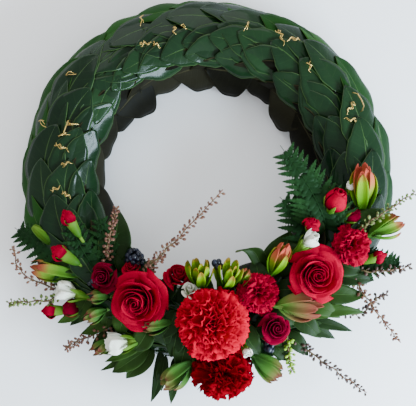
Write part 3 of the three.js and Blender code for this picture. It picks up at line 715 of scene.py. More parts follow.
# An under layer, so that no foam shows between the leaves. Its low tone is painted shade, for the shade under
# the top leaves
for name, run in runs.items():
    for k, tipAngle in enumerate(np.arange(run["from"], run["to"] - 3, underLayer["pitch"])):
        for around in underLayer["around"]:
            tip = (tipAngle, around + 5 * math.sin(k * 1.7 + around))
            foot = (tipAngle - underLayer["span"] * run["tipSide"], around)
            ringLeaf(rowFor(name, tipAngle), tip, foot, underLayer["width"], underLayer["lift"],
                     underLayer["tone"], underLayer["seed"] + k + around, rise=underLayer["rise"])

for (name, k), cuttings in rows.items():
    node = f"leaf_row_{name}_{k + 1:02d}"
    cuttings.build(pieceName(node), rowFinishes, "camellia_leaf", (node,))
print("ring leaves laid:", len(rows), "rows")

# Collars of leaves under the spray, each as the turns that it spans and the side its tips point to
collars = {
    "leaf_collar_left_1": (212, 236, -1), "leaf_collar_left_2": (236, 264, -1),
    "leaf_collar_right_1": (-50, -22, 1), "leaf_collar_right_2": (-88, -56, 1),
}
collarLook = {"around": (104, 76, 48, -50, -76, -100), "pitch": 10, "span": 25, "width": 38, "lift": -1.0,
              "rise": 0.11, "seed": 1300}
for n, (node, (first, last, tipSide)) in enumerate(collars.items()):
    cuttings = Cuttings()
    for k, tipAngle in enumerate(np.arange(first, last, collarLook["pitch"])):
        for i, around in enumerate(collarLook["around"]):
            tip = (tipAngle + 5 * math.sin(k + i * 2.1), around + 4 * math.sin(3 * k + i))
            tone = 0.3 + 0.3 * math.sin(i + k) ** 2
            foot = (tip[0] - collarLook["span"] * tipSide, around)
            ringLeaf(cuttings, tip, foot, collarLook["width"], collarLook["lift"], tone,
                     collarLook["seed"] + 60 * n + 6 * k + i, rise=collarLook["rise"])
    cuttings.build(pieceName(node), ["camelliaLeaf"], "camellia_leaf", (node,))

# Short brass pins that hold the leaves down: turn, around the tube, heading, length and waves
pins = [
    (161, 40, 100, 16, 1.0), (163, 2, 60, 14, 0.5), (158, -4, 70, 16, 0.5), (168, 0, 100, 20, 3.0),
    (174, -10, 60, 14, 2.0), (142, 38, 50, 14, 1.0), (112, 40, 100, 17, 1.5), (114, 2, 10, 14, 3.0),
    (110, -6, 40, 10, 2.0), (102, 6, 90, 8, 2.0), (98, 10, 20, 7, 1.0), (75, 16, 95, 14, 0.5),
    (62, 20, 40, 22, 3.5), (58, 26, 130, 16, 2.0), (47, 8, 30, 13, 2.0), (26, 20, 60, 20, 3.5),
    (22, 12, 110, 16, 2.5), (187, -10, 120, 12, 3.0), (184, 4, 60, 12, 2.0),
]
pinWire = {"radius": 0.32, "strands": 3, "swing": 1.3, "apart": 0.9, "over": 14.0, "hump": 2.2, "steps": 20}
wires = Cuttings()
for turn, around, heading, length, waves in pins:
    lie = math.radians(heading)
    steps = np.linspace(0, 1, pinWire["steps"])
    for strand in range(pinWire["strands"]):
        along = (steps - 0.5) * length * (0.86 - 0.2 * strand) + 1.5 * strand
        aside = pinWire["swing"] * np.sin(steps * fullTurn * 0.6 * waves + turn + 2.1 * strand)
        aside = aside + pinWire["apart"] * (strand - 1)
        flatX = along * math.cos(lie) - aside * math.sin(lie)
        flatY = along * math.sin(lie) + aside * math.cos(lie)
        out = pinWire["over"] + pinWire["hump"] * np.sin(steps * math.pi) + 0.5 * strand
        wires.tube(overTube(math.radians(turn) + flatX / ring["meanRadius"],
                            math.radians(around) + flatY / (ring["tubeRadius"] + pinWire["over"]), out),
                   pinWire["radius"], 6)
wires.build("leafPins", ["wire"], "pin_wire")


# Every flower's head stands up from its own foot, and is then turned to face its own way.
# Finish 0 is its petals or bracts, 1 its green parts and 2 the bracts at its heart.
petals, greens, heart = range(3)


def stemRun(cuttings, spec):
    neck, foot, direction = polar(*spec["head"]), polar(*spec["foot"]), facing(*spec["face"])
    bend = neck - direction * 0.35 * np.linalg.norm(neck - foot)
    run = spline([foot, blendTo(foot, bend, 0.6), neck + direction * 0.5], 9)
    cuttings.tube(run, spec.get("stem", 1.8), 8, 0.5, greens)


def petal(cuttings, spec, shape, steps, thickness, tone, finish=petals):
    origin, direction, roll = polar(*spec["head"]), facing(*spec["face"]), spec.get("roll", 0.0)
    cuttings.sheet(lambda u, v: aimed(shape(u, v), origin, direction, roll), steps, thickness, tone, finish)


def sepals(cuttings, spec, form, steps, tone, first=0.0, thickness=0.4):
    count = 5
    for k in range(count):
        def shape(u, v):
            radius, halfAngle, height = form(u, k)
            return wrapped(radius, first + k * fullTurn / count + v * halfAngle, height)

        petal(cuttings, spec, shape, steps, thickness, tone, greens)


# A tube along a flower's own axis, from start to end with these radii
def cup(cuttings, spec, start, end, radii, sides, tone=0.5, finish=greens):
    steps = np.linspace(start, end, len(radii))[:, None]
    cuttings.tube(polar(*spec["head"]) + facing(*spec["face"]) * steps, radii, sides, tone, finish)


roseShape = {
    "rims": (0.06, 0.90),      # radius at the heart and outside, as shares of the rose's size
    "wraps": (2.3, 0.90),      # half the angle that a petal spans, at the heart and outside
    "steeps": (0.30, 0.62),    # how soon a petal reaches its full radius
    "swirls": (0.24, 0.05),
    "rolls": (0.11, 0.19),     # how far the outer lips roll back
    "steps": (12, 12),
    "thickness": 0.4,
    "sepalSteps": (8, 4),
    "cup": [0.08, 0.16, 0.22, 0.24, 0.2, 0.12],
}


def roseHead(cuttings, spec, rng):
    size, count, openness = spec["size"], spec["petals"], spec.get("openness", 1.0)
    heartRim, fullRim = roseShape["rims"]
    for i in range(count):
        t = i / (count - 1)       # 0 at the heart, 1 outside
        turn = i * goldenTurn + rng.uniform(-0.35, 0.35)
        rim = size * (heartRim + (fullRim * openness - heartRim) * t ** 0.95) * rng.uniform(0.95, 1.06)
        top = size * (0.96 - 0.10 * t - 0.40 * smooth(0.45, 1.0, t)) + rng.uniform(-0.03, 0.03) * size
        halfAngle = blendTo(*roseShape["wraps"], min(1.0, t * 1.5) ** 0.6) * rng.uniform(0.92, 1.1)
        steep = blendTo(*roseShape["steeps"], smooth(0.4, 1.0, t))
        roll = smooth(0.15, 1.0, t) * size * openness * rng.uniform(*roseShape["rolls"])
        swirl = blendTo(*roseShape["swirls"], t)
        ripple = rng.uniform(0, anyPhase)

        def shape(u, v):
            angle = turn + v * halfAngle * (0.25 + 0.75 * np.sqrt(u))
            corner = np.abs(v) ** 3
            radius = rim * (0.10 + 0.90 * u ** steep) * (1 + swirl * v)
            height = top * (0.02 + 0.98 * u ** 1.1) * (1 - (0.20 + 0.16 * t) * corner * u)
            lip = smooth(0.70, 1.0, u)
            point = np.clip(1 - np.abs(v) * 2.2, 0, 1) * t
            radius = radius + roll * lip * (0.8 + 0.15 * corner + 0.30 * point)
            radius = radius + 0.018 * size * np.sin(v * 5 + ripple) * lip
            height = height - roll * lip ** 2 * (0.8 + 0.4 * corner)
            height = height + 0.02 * size * np.sin(v * 3.3 + ripple) * lip
            return wrapped(radius, angle, height)

        petal(cuttings, spec, shape, roseShape["steps"], roseShape["thickness"], rng.uniform(0.15, 0.85))

    def sepal(u, k):
        halfAngle = 0.22 * np.sin(math.pi * np.clip(0.15 + 0.85 * u, 0, 1)) / (0.35 + u)
        return size * (0.12 + 0.62 * u), halfAngle, size * (0.02 + 0.10 * u - 0.1 * u * u)

    sepals(cuttings, spec, sepal, roseShape["sepalSteps"], 0.5, 0.3)
    cup(cuttings, spec, -0.16 * size, 0.12 * size, np.array(roseShape["cup"]) * size, 10)


carnationShape = {
    "spread": 92,              # degrees from the upright petals in the middle to the outermost
    "widths": (0.24, 0.36),    # as shares of the flower's size, like all that follow
    "frills": (0.05, 0.085),
    "teeth": 0.07,
    "steps": (6, 20),
    "thickness": 0.22,
    "calyx": [0.07, 0.17, 0.21, 0.22, 0.22, 0.21, 0.21, 0.2],
    "calyxLength": 0.78,
}


def carnationHead(cuttings, spec, rng):
    size, count = spec["size"], spec["petals"]
    ragged = spec.get("ragged", 1.0)      # how unevenly the petals stand
    for i in range(count):
        t = (i + 0.5) / count
        spread = spec.get("spread", carnationShape["spread"])
        lean = math.radians(4 + spread * t ** 0.60 + ragged * rng.uniform(-8, 8))
        turn = i * goldenTurn + rng.uniform(-0.2, 0.2)
        reach = size * (0.70 + 0.34 * math.sin(lean)) * (1 + ragged * rng.uniform(-0.08, 0.045))
        width = size * rng.uniform(*carnationShape["widths"]) * spec.get("broad", 1.0)
        waves, phase, second = rng.uniform(6, 10), rng.uniform(0, anyPhase), rng.uniform(0, anyPhase)
        frill = size * rng.uniform(*carnationShape["frills"]) * spec.get("frill", 1.0)
        cant = rng.uniform(-0.9, 0.9)

        def shape(u, v):
            teeth = carnationShape["teeth"] * np.abs(((v * 6 + phase) % 1.0) - 0.5) * 2 * smooth(0.82, 1.0, u)
            bend = lean * (0.25 + 0.75 * smooth(0.0, 0.8, u))
            distance = reach * (u - teeth) * (1 - 0.12 * v * v * u)
            fan = v * width * (0.10 + 0.90 * u ** 1.4)
            ruffle = frill * np.sin(v * waves + phase) * u ** 2.2
            ruffle = ruffle + 0.55 * frill * np.sin(v * waves * 2.1 + second) * u ** 4
            outward = distance * np.sin(bend) + ruffle * np.cos(bend)
            height = distance * np.cos(bend) - ruffle * np.sin(bend) - 0.18 * size
            across = fan * math.cos(cant) + 0.4 * ruffle
            height = height + fan * math.sin(cant) * 0.35
            x = outward * math.cos(turn) - across * math.sin(turn)
            y = outward * math.sin(turn) + across * math.cos(turn)
            return np.stack([x, y, height], axis=-1)

        petal(cuttings, spec, shape, carnationShape["steps"], carnationShape["thickness"],
              rng.uniform(0.05, 0.95))
    calyx = np.array(carnationShape["calyx"]) * size
    cup(cuttings, spec, -carnationShape["calyxLength"] * size, 0, calyx, 12)


carnationBudShape = {
    "calyx": [0.10, 0.30, 0.42, 0.50, 0.56, 0.60, 0.64, 0.68, 0.72, 0.74, 0.74, 0.70],
    "petals": 16,
    "toothSteps": (5, 4),
    "petalSteps": (8, 12),
    "petalThickness": 0.35,
}


def carnationBud(cuttings, spec, rng):  # a smooth calyx with crumpled petals pushing out of its mouth
    size, length = spec["size"], spec["size"] * spec["length"]
    calyx, count = np.array(carnationBudShape["calyx"]) * size, carnationBudShape["petals"]
    cup(cuttings, spec, -0.05 * length, 0.62 * length, calyx, 14)

    def tooth(u, k):
        return size * (0.72 + 0.16 * u), 0.55 * (1 - u) ** 0.7, length * (0.56 + 0.17 * u)

    sepals(cuttings, spec, tooth, carnationBudShape["toothSteps"], 0.6)
    for i in range(count):
        turn, t = i * goldenTurn, i / (count - 1)
        waves, phase = rng.uniform(3, 6), rng.uniform(0, anyPhase)

        def crumpledPetal(u, v):
            belly = np.sin(math.pi * np.clip(0.22 + 0.58 * u, 0, 1))
            ruffle = 0.07 * size * np.sin(v * waves + phase) * u ** 2
            radius = size * (0.08 + 0.98 * t) * belly * (1 + 0.14 * v) + ruffle
            angle = turn + v * blendTo(1.3, 0.75, t)
            teeth = 0.05 * length * np.abs(((v * 4 + phase) % 1.0) - 0.5) * smooth(0.8, 1, u)
            height = length * (0.48 + (0.50 - 0.15 * t) * u) - 0.05 * length * v * v * u - teeth
            return wrapped(radius, angle, height)

        petal(cuttings, spec, crumpledPetal, carnationBudShape["petalSteps"],
              carnationBudShape["petalThickness"], rng.uniform(0.1, 0.9))


roseBudShape = {
    "petals": 9,
    "thickness": 0.4,
    "petalSteps": (14, 12),
    "sepalSteps": (9, 4),
    "flare": 0.25,             # how far the sepals' tips stand out
    "cup": [0.16, 0.26, 0.42, 0.50, 0.50, 0.44, 0.3],
}


def roseBud(cuttings, spec, rng):  # smooth furled petals over a small green cup with long sepals
    size, length, count = spec["size"], spec["size"] * spec["length"], roseBudShape["petals"]
    for i in range(count):
        turn, t = i * goldenTurn, i / (count - 1)

        def furled(u, v):
            belly = np.sin(math.pi * np.clip(0.06 + 0.78 * u ** 0.85, 0, 1)) ** 0.75
            radius = size * (0.30 + 0.72 * t) * belly * (1 + 0.10 * v) + 0.05 * size * smooth(0.85, 1, u) * t
            angle = turn + v * blendTo(1.6, 1.05, t)
            height = length * (0.10 + (0.88 - 0.12 * t) * u) - 0.07 * length * v ** 2 * u
            return wrapped(radius, angle, height)

        petal(cuttings, spec, furled, roseBudShape["petalSteps"], roseBudShape["thickness"],
              rng.uniform(0.1, 0.8))

    def sepal(u, k):
        flare = spec.get("flare", roseBudShape["flare"]) + 0.12 * math.sin(k * 2.4)
        radius = size * (0.34 + 0.62 * np.sin(math.pi * np.clip(0.5 * u + 0.06, 0, 1)) + flare * u ** 2)
        return radius, 0.34 * (1 - u) ** 0.8, length * 0.62 * u

    sepals(cuttings, spec, sepal, roseBudShape["sepalSteps"], 0.5, 0.4)
    cup(cuttings, spec, -0.16 * length, 0.25 * length, np.array(roseBudShape["cup"]) * size, 10)


frilledBudShape = {
    "petals": 9,
    "thickness": 0.4,
    "petalSteps": (12, 14),
    "sepalSteps": (9, 5),
    "funnel": [0.14, 0.20, 0.27, 0.33, 0.40, 0.46, 0.40],
}


def frilledBud(cuttings, spec, rng):  # a half-open cup of crumpled petals on a slender green funnel
    size, length, count = spec["size"], spec["size"] * spec["length"], frilledBudShape["petals"]
    for i in range(count):
        turn, t = i * goldenTurn, i / (count - 1)
        waves, phase = rng.uniform(2.5, 4.5), rng.uniform(0, anyPhase)
        tall = rng.uniform(0.90, 1.0)

        def frilled(u, v):
            belly = 0.22 + 0.78 * smooth(0.0, 0.75, u) - 0.16 * smooth(0.75, 1.0, u) * (1 - t)
            radius = size * (0.35 + 0.62 * t) * belly * (1 + 0.10 * v)
            radius = radius + 0.10 * size * np.sin(v * waves + phase) * u ** 1.5
            radius = radius + 0.06 * size * np.sin(u * 7 + phase + 2 * v) * u
            height = length * (0.26 + (0.74 * tall - 0.10 * t) * u - 0.10 * v * v * u)
            height = height + 0.05 * size * np.sin(v * waves * 1.7 + phase) * u ** 2
            return wrapped(radius, turn + v * blendTo(1.4, 0.85, t), height)

        petal(cuttings, spec, frilled, frilledBudShape["petalSteps"], frilledBudShape["thickness"],
              rng.uniform(0.1, 0.7))

    def sepal(u, k):
        return size * (0.26 + 0.70 * smooth(0.0, 1.0, u)), 0.42 * (1 - u) ** 0.6, length * (0.62 * u - 0.06)

    sepals(cuttings, spec, sepal, frilledBudShape["sepalSteps"], 0.6, 0.4)
    cup(cuttings, spec, -0.30 * length, 0.36 * length, np.array(frilledBudShape["funnel"]) * size, 10, 0.6)


greenBudShape = {"swell": 0.9, "blunt": 0.45, "steps": 16, "seamSteps": (10, 6), "seamThickness": 0.5}


def greenBud(cuttings, spec, rng):  # a closed bud whose sepals lap at their seams
    size, length = spec["size"], spec["size"] * spec["length"]

    def belly(along):
        return np.sin(math.pi * along ** greenBudShape["swell"]) ** greenBudShape["blunt"]

    radii = size * np.maximum(0.80 * belly(np.linspace(0.06, 0.985, greenBudShape["steps"])), 0.05)
    cup(cuttings, spec, -0.1 * length, length, radii, 14, 0.6)

    def seam(u, k):
        radius = size * 0.84 * belly(np.clip(0.2 + 0.76 * u, 0, 1))
        return radius, 0.52 * (1 - u) ** 0.5, length * (0.1 + 0.93 * u)

    sepals(cuttings, spec, seam, greenBudShape["seamSteps"], 0.35, thickness=greenBudShape["seamThickness"])


bractShape = {
    "bracts": 11,
    "spreads": (0.95, 0.30),   # how far the lowest and the highest bract stand out
    "widths": (0.50, 0.36),
    "heartFrom": 0.35,         # bracts from here up may have the heart's colour
    "steps": (14, 6),
    "thickness": 0.7,
    "cone": [0.12, 0.18, 0.22, 0.24, 0.24, 0.22, 0.18, 0.12, 0.04],
}


def bractHead(cuttings, spec, rng):  # long smooth bracts that lap up round a closed cone
    size, length, openness = spec["size"], spec["length"], spec.get("open", 1.0)
    count = spec.get("bracts", bractShape["bracts"])
    for i in range(count):
        t = i / (count - 1)       # 0 for the lowest, widest bract
        turn = i * goldenTurn + rng.uniform(-0.25, 0.25)
        start = length * 0.30 * t
        reach = length * blendTo(0.80, 1.0, t) * rng.uniform(0.92, 1.04)
        spread = size * blendTo(*bractShape["spreads"], t ** 0.8) * rng.uniform(0.85, 1.15) * openness
        width = size * blendTo(*bractShape["widths"], t) * rng.uniform(0.9, 1.1)
        tipIn = rng.uniform(1.7, 2.25) - 0.9 * (openness - 1)

        def bract(u, v):
            half = width * np.maximum((4 * np.clip(u, 0, 1) * (1.0 - u)) ** 0.55 * (0.86 + 0.2 * u), 0.07)
            radius = size * 0.10 + spread * np.sin(u * tipIn) + 0.30 * half * v ** 2
            x = radius * math.cos(turn) - v * half * math.sin(turn)
            y = radius * math.sin(turn) + v * half * math.cos(turn)
            return np.stack([x, y, blendTo(start, reach, u)], axis=-1)

        inHeart = t > bractShape["heartFrom"] and "heart" in spec
        petal(cuttings, spec, bract, bractShape["steps"], bractShape["thickness"], rng.uniform(0.2, 0.8),
              heart if inHeart else petals)
    cup(cuttings, spec, -0.1 * length, 0.8 * length, np.array(bractShape["cone"]) * size, 8, 0.3, petals)


berryShape = {"radii": (2.6, 3.5), "stretch": 1.4, "facets": (12, 8), "stalk": 0.5, "eyeFacets": (6, 4)}


def berryHead(cuttings, spec, rng):
    origin, direction, size = polar(*spec["head"]), facing(*spec["face"]), spec["size"]
    for i in range(spec["count"]):
        height = size * 1.7 * i / spec["count"]
        radius = 0.72 * size * math.cos(1.2 * i / spec["count"])
        turn = i * goldenTurn
        centre = aimed(wrapped(radius, turn, height), origin, direction)
        root = origin + direction * (height - 0.3 * size)
        stalk = spline([root, blendTo(root, centre, 0.5) + up, centre], 5)
        cuttings.tube(stalk, berryShape["stalk"], 6, 0.5, greens)
        grown = rng.uniform(*berryShape["radii"])
        tone = rng.uniform(0.2, 0.8)
        cuttings.ball(centre, grown, direction, berryShape["stretch"], berryShape["facets"], tone)
        eye = centre + direction * grown * 1.22  # the small scar at a berry's end
        cuttings.ball(eye, berryShape["stalk"], direction, 1, berryShape["eyeFacets"])


# What makes each kind of head, and the slot that it goes in
headKinds = {
    "rose": (roseHead, "rose_petal"), "carnation": (carnationHead, "carnation_petal"),
    "carnationBud": (carnationBud, "bud_calyx"), "roseBud": (roseBud, "rose_petal"),
    "frilledBud": (frilledBud, "white_petal"), "greenBud": (greenBud, "bud_calyx"),
    "bract": (bractHead, "bract"), "berries": (berryHead, "berry_skin"),
}
woody = ("bract", "berries", "rose")  # heads whose green parts have the stem's finish

# Each flower stands where its CAD solid does: head and foot are angle, radius and height, and
# face is the way the head looks, as azimuth and tilt from straight up.
flowers = {
    "rose_left": {"kind": "rose", "size": 31, "head": (242, 140, 64), "face": (225, 20),
        "foot": (243, 134, 38), "petals": 30, "colour": "rosePetal", "seed": 11},
    "rose_right": {"kind": "rose", "size": 29.5, "head": (318, 148, 64), "face": (330, 10),
        "foot": (318, 146, 38), "petals": 30, "colour": "rosePetal", "seed": 12},
    "carnation_front": {"kind": "carnation", "size": 36, "head": (272, 150, 82), "face": (270, 8),
        "foot": (271, 150, 38), "petals": 72, "broad": 1.6, "frill": 1.3, "ragged": 2.2,
        "colour": "carnationPetal", "seed": 21},
    # its petals are painted in shade, as it faces down
    "carnation_low": {"kind": "carnation", "size": 33, "head": (275, 203, 50), "face": (275, 50),
        "spread": 106, "foot": (274, 166, 34), "petals": 62, "broad": 1.5, "frill": 1.3, "ragged": 2.0,
        "colour": "darkCarnationPetal", "seed": 22},
    "carnation_right": {"kind": "carnation", "size": 22, "head": (294, 130, 72), "face": (60, 14),
        "foot": (294, 138, 40), "petals": 36, "broad": 1.6, "frill": 1.2, "ragged": 2.0,
        "colour": "crimsonPetal", "seed": 23},
    "carnation_far": {"kind": "carnation", "size": 22, "head": (335, 164, 70), "face": (10, 18),
        "foot": (335, 158, 40), "petals": 32, "broad": 1.6, "frill": 1.3, "ragged": 2.0,
        "colour": "crimsonPetal", "seed": 24},
    "spray_rose_left": {"kind": "rose", "size": 16, "head": (225, 145, 62), "face": (180, 20),
        "foot": (226, 143, 40), "petals": 16, "colour": "darkRosePetal", "seed": 31},
    "spray_rose_inner": {"kind": "rose", "size": 12, "head": (231, 121, 60), "face": (110, 25),
        "foot": (231, 133, 40), "petals": 13, "openness": 0.8, "colour": "rosePetal", "seed": 32},
    "spray_rose_back": {"kind": "rose", "size": 18, "head": (254, 109, 58), "face": (75, 35),
        "foot": (254, 134, 38), "petals": 14, "openness": 0.9, "colour": "rosePetal", "seed": 33},
    "spray_rose_right": {"kind": "rose", "size": 17, "head": (294, 168, 62), "face": (345, 18),
        "foot": (294, 162, 40), "petals": 16, "colour": "darkRosePetal", "seed": 34},
    "rosebud_upper": {"kind": "roseBud", "size": 12.5, "length": 2.4, "head": (345, 131, 68),
        "face": (60, 50), "foot": (341, 142, 42), "colour": "rosePetal", "seed": 41},
    "lisianthus_bloom": {"kind": "rose", "size": 12, "head": (262, 119, 68), "face": (90, 30),
        "foot": (262, 138, 40), "petals": 9, "openness": 0.85, "colour": "whitePetal", "seed": 42},
    "carnation_bud_inner": {"kind": "carnationBud", "size": 9, "length": 2.6, "head": (331, 122, 70),
        "face": (85, 45), "foot": (331, 137, 42), "colour": "crimsonPetal", "seed": 43},
    "lisianthus_bud_right": {"kind": "frilledBud", "size": 9, "length": 3.3, "head": (321, 119, 76),
        "face": (39, 62), "foot": (318, 122, 50), "colour": "whitePetal", "seed": 44},
    "lisianthus_bud_left": {"kind": "frilledBud", "size": 12, "length": 3.0, "head": (225, 173, 52),
        "face": (166, 86), "roll": 1.1, "foot": (230, 160, 40), "colour": "whitePetal", "seed": 45},
    "lisianthus_bud_low": {"kind": "frilledBud", "size": 13, "length": 3.0, "head": (248, 180, 52),
        "face": (188, 84), "roll": 1.5, "foot": (251, 166, 40), "colour": "whitePetal", "seed": 46},
    "carnation_bud_left": {"kind": "carnationBud", "size": 8, "length": 4.2, "head": (205, 143, 72),
        "face": (121, 74), "foot": (211, 142, 44), "colour": "crimsonPetal", "seed": 47},
    "carnation_bud_side": {"kind": "carnationBud", "size": 9, "length": 3.8, "head": (214, 158, 65),
        "face": (149, 80), "foot": (219, 158, 42), "colour": "crimsonPetal", "seed": 48},
    "carnation_bud_low": {"kind": "carnationBud", "size": 8, "length": 4, "head": (224, 196, 45),
        "face": (182, 86), "foot": (230, 166, 38), "colour": "crimsonPetal", "seed": 49},
    "green_bud_left": {"kind": "greenBud", "size": 7, "length": 4, "head": (203, 172, 54),
        "face": (140, 82), "foot": (208, 160, 42), "colour": "budCalyx", "seed": 50},
    "leucadendron_upper_right": {"kind": "bract", "size": 12.5, "length": 58, "head": (347, 166, 62),
        "face": (92, 62), "foot": (343, 160, 40), "bracts": 12, "colour": "limeBract",
        "heart": "sunsetBract", "seed": 51},
    "leucadendron_inner_right": {"kind": "bract", "size": 10, "length": 46, "head": (303, 121, 64),
        "face": (65, 56), "foot": (300, 132, 40), "colour": "limeBract", "heart": "sunsetBract",
        "seed": 52},
    "leucadendron_inner": {"kind": "bract", "size": 10, "length": 40, "head": (267, 116, 62),
        "face": (91, 50), "foot": (267, 132, 40), "open": 1.5, "colour": "limeBract", "seed": 53},
    "leucadendron_inner_2": {"kind": "bract", "size": 10, "length": 40, "head": (279, 117, 64),
        "face": (74, 50), "foot": (279, 133, 40), "open": 1.5, "colour": "limeBract", "seed": 54},
    "leucadendron_left": {"kind": "bract", "size": 12, "length": 62, "head": (219, 162, 53),
        "face": (170, 92), "foot": (222, 158, 38), "bracts": 10, "colour": "greenBract", "seed": 55},
    "leucadendron_low": {"kind": "bract", "size": 12, "length": 44, "head": (266, 189, 54),
        "face": (220, 100), "foot": (266, 166, 40), "colour": "darkBract", "seed": 56},
    "leucadendron_low_right": {"kind": "bract", "size": 12, "length": 44, "head": (284, 186, 54),
        "face": (322, 98), "foot": (285, 166, 40), "colour": "darkBract", "seed": 57},
    "leucadendron_right": {"kind": "bract", "size": 14, "length": 50, "head": (298, 149, 66),
        "face": (356, 84), "foot": (299, 146, 40), "colour": "rustBract", "seed": 58},
    "berry_cluster": {"kind": "berries", "size": 12, "count": 24, "head": (229, 113, 54), "face": (90, 20),
        "foot": (232, 130, 44), "stem": 1.4, "colour": "berrySkin", "seed": 59},
}
# Smaller heads that fill the spray and have no solid of their own
smallFlowers = {
    "pinkBud": {"kind": "carnation", "size": 6.5, "head": (287, 131, 84), "face": (200, 20),
        "foot": (288, 136, 44), "petals": 22, "colour": "crimsonPetal", "seed": 101},
    "roseBudDark": {"kind": "roseBud", "size": 8, "length": 2.7, "head": (343, 148, 62), "face": (25, 72),
        "foot": (340, 146, 44), "colour": "darkRosePetal", "seed": 102},
    "creamBud": {"kind": "frilledBud", "size": 5.5, "length": 2.4, "head": (283, 176, 68),
        "face": (285, 55), "foot": (281, 160, 44), "colour": "whitePetal", "seed": 103},
    "roseBudLeft": {"kind": "roseBud", "size": 9.5, "length": 2.4, "head": (226, 186, 44),
        "face": (187, 84), "foot": (231, 168, 40), "flare": 0.05, "colour": "darkRosePetal", "seed": 104},
    "whiteBudBehind": {"kind": "frilledBud", "size": 5, "length": 2.6, "head": (354, 148, 66),
        "face": (80, 50), "foot": (350, 148, 44), "colour": "whitePetal", "seed": 105},
    "carnationBudRight": {"kind": "carnationBud", "size": 7, "length": 4.2, "head": (331.5, 182, 58),
        "face": (18, 86), "foot": (330, 170, 42), "colour": "crimsonPetal", "seed": 106},
    "bractRightEnd": {"kind": "bract", "size": 13, "length": 42, "head": (340, 176, 66), "face": (24, 82),
        "foot": (337, 160, 44), "bracts": 8, "colour": "greenBract", "seed": 107},
    "bractMiddle": {"kind": "bract", "size": 9, "length": 34, "head": (257, 152, 64), "face": (190, 75),
        "foot": (258, 146, 44), "bracts": 10, "colour": "darkBract", "seed": 108},
    "bractLeftUpper": {"kind": "bract", "size": 7, "length": 24, "head": (231, 157, 62), "face": (182, 78),
        "foot": (233, 148, 44), "bracts": 8, "colour": "darkBract", "seed": 109},
    "bractLeftLower": {"kind": "bract", "size": 8, "length": 26, "head": (233, 170, 56), "face": (205, 80),
        "foot": (235, 158, 44), "bracts": 9, "colour": "darkBract", "seed": 110},
    "bractRoseFoot": {"kind": "bract", "size": 9, "length": 40, "head": (300, 150, 58), "face": (8, 84),
        "foot": (298, 146, 44), "bracts": 9, "colour": "greenBract", "seed": 111},
    "bractInnerEdge": {"kind": "bract", "size": 7, "length": 30, "head": (285, 120, 62), "face": (60, 55),
        "foot": (285, 134, 44), "bracts": 9, "colour": "greenBract", "seed": 112},
    "bractLowLeft": {"kind": "bract", "size": 8, "length": 30, "head": (240, 190, 46), "face": (215, 86),
        "foot": (242, 172, 42), "bracts": 8, "colour": "darkBract", "seed": 113},
    "berriesInner": {"kind": "berries", "size": 5, "count": 6, "head": (277, 92, 76), "face": (90, 40),
        "foot": (276, 134, 44), "stem": 1.2, "colour": "berrySkin", "seed": 114},
    "berriesLeft": {"kind": "berries", "size": 5, "count": 5, "head": (224, 156, 60), "face": (180, 50),
        "foot": (226, 148, 44), "stem": 1.2, "colour": "berrySkin", "seed": 115},
    "berriesRight": {"kind": "berries", "size": 6, "count": 7, "head": (291, 182, 56), "face": (270, 50),
        "foot": (290, 164, 44), "stem": 1.2, "colour": "berrySkin", "seed": 116},
}

for node, spec in {**flowers, **smallFlowers}.items():
    makeHead, slot = headKinds[spec["kind"]]
    cuttings = Cuttings()
    makeHead(cuttings, spec, np.random.default_rng(spec["seed"]))
    stemRun(cuttings, spec)
    green = "flowerStem" if spec["kind"] in woody else "budCalyx"
    cuttings.build(pieceName(node), [spec["colour"], green, spec.get("heart", spec["colour"])], slot,
                   (node,) if node in flowers else ())
print("flowers made:", len(flowers) + len(smallFlowers))

# Fern fronds, each along a route of angle, radius and height. Names with an underscore are CAD nodes.
ferns = {
    "fern_left": {"route": [(214, 148, 44), (208, 168, 56), (200, 190, 52), (194, 207, 42)], "pairs": 9,
        "reach": 36, "seed": 61},
    "fern_right": {"route": [(333, 140, 44), (341, 128, 70), (357, 102, 82), (23, 82, 84)], "pairs": 13,
        "reach": 46, "seed": 62},
    "fernLeftInner": {"route": [(226, 150, 50), (217, 148, 62), (205, 147, 68), (194, 146, 71)], "pairs": 8,
        "reach": 30, "seed": 63},
    "fernLeftEdge": {"route": [(228, 138, 50), (218, 128, 62), (208, 120, 68), (200, 117, 70)], "pairs": 6,
        "reach": 26, "seed": 64},
    "fernRightInner": {"route": [(326, 140, 48), (330, 120, 62), (338, 98, 72), (345, 78, 76)], "pairs": 7,
        "reach": 36, "seed": 65},
    "fernRightEnd": {"route": [(330, 168, 46), (332, 188, 52), (335, 206, 52), (337, 222, 46)], "pairs": 8,
        "reach": 26, "seed": 66},
    "fernLow": {"route": [(286, 170, 44), (288, 192, 46), (289, 208, 42), (290, 222, 36)], "pairs": 7,
        "reach": 22, "seed": 67},
}
fernShape = {
    "steps": 40,
    "stemRadii": (0.8, 0.3),
    "bare": 0.22,              # the share of the stem that has no leaflets
    "leaning": (0.84, 0.55),   # how far a leaflet points sideways and forwards
    "slender": 0.16,
    "teeth": 8,
    "leafletSteps": (44, 4),
    "thickness": 0.35,
}


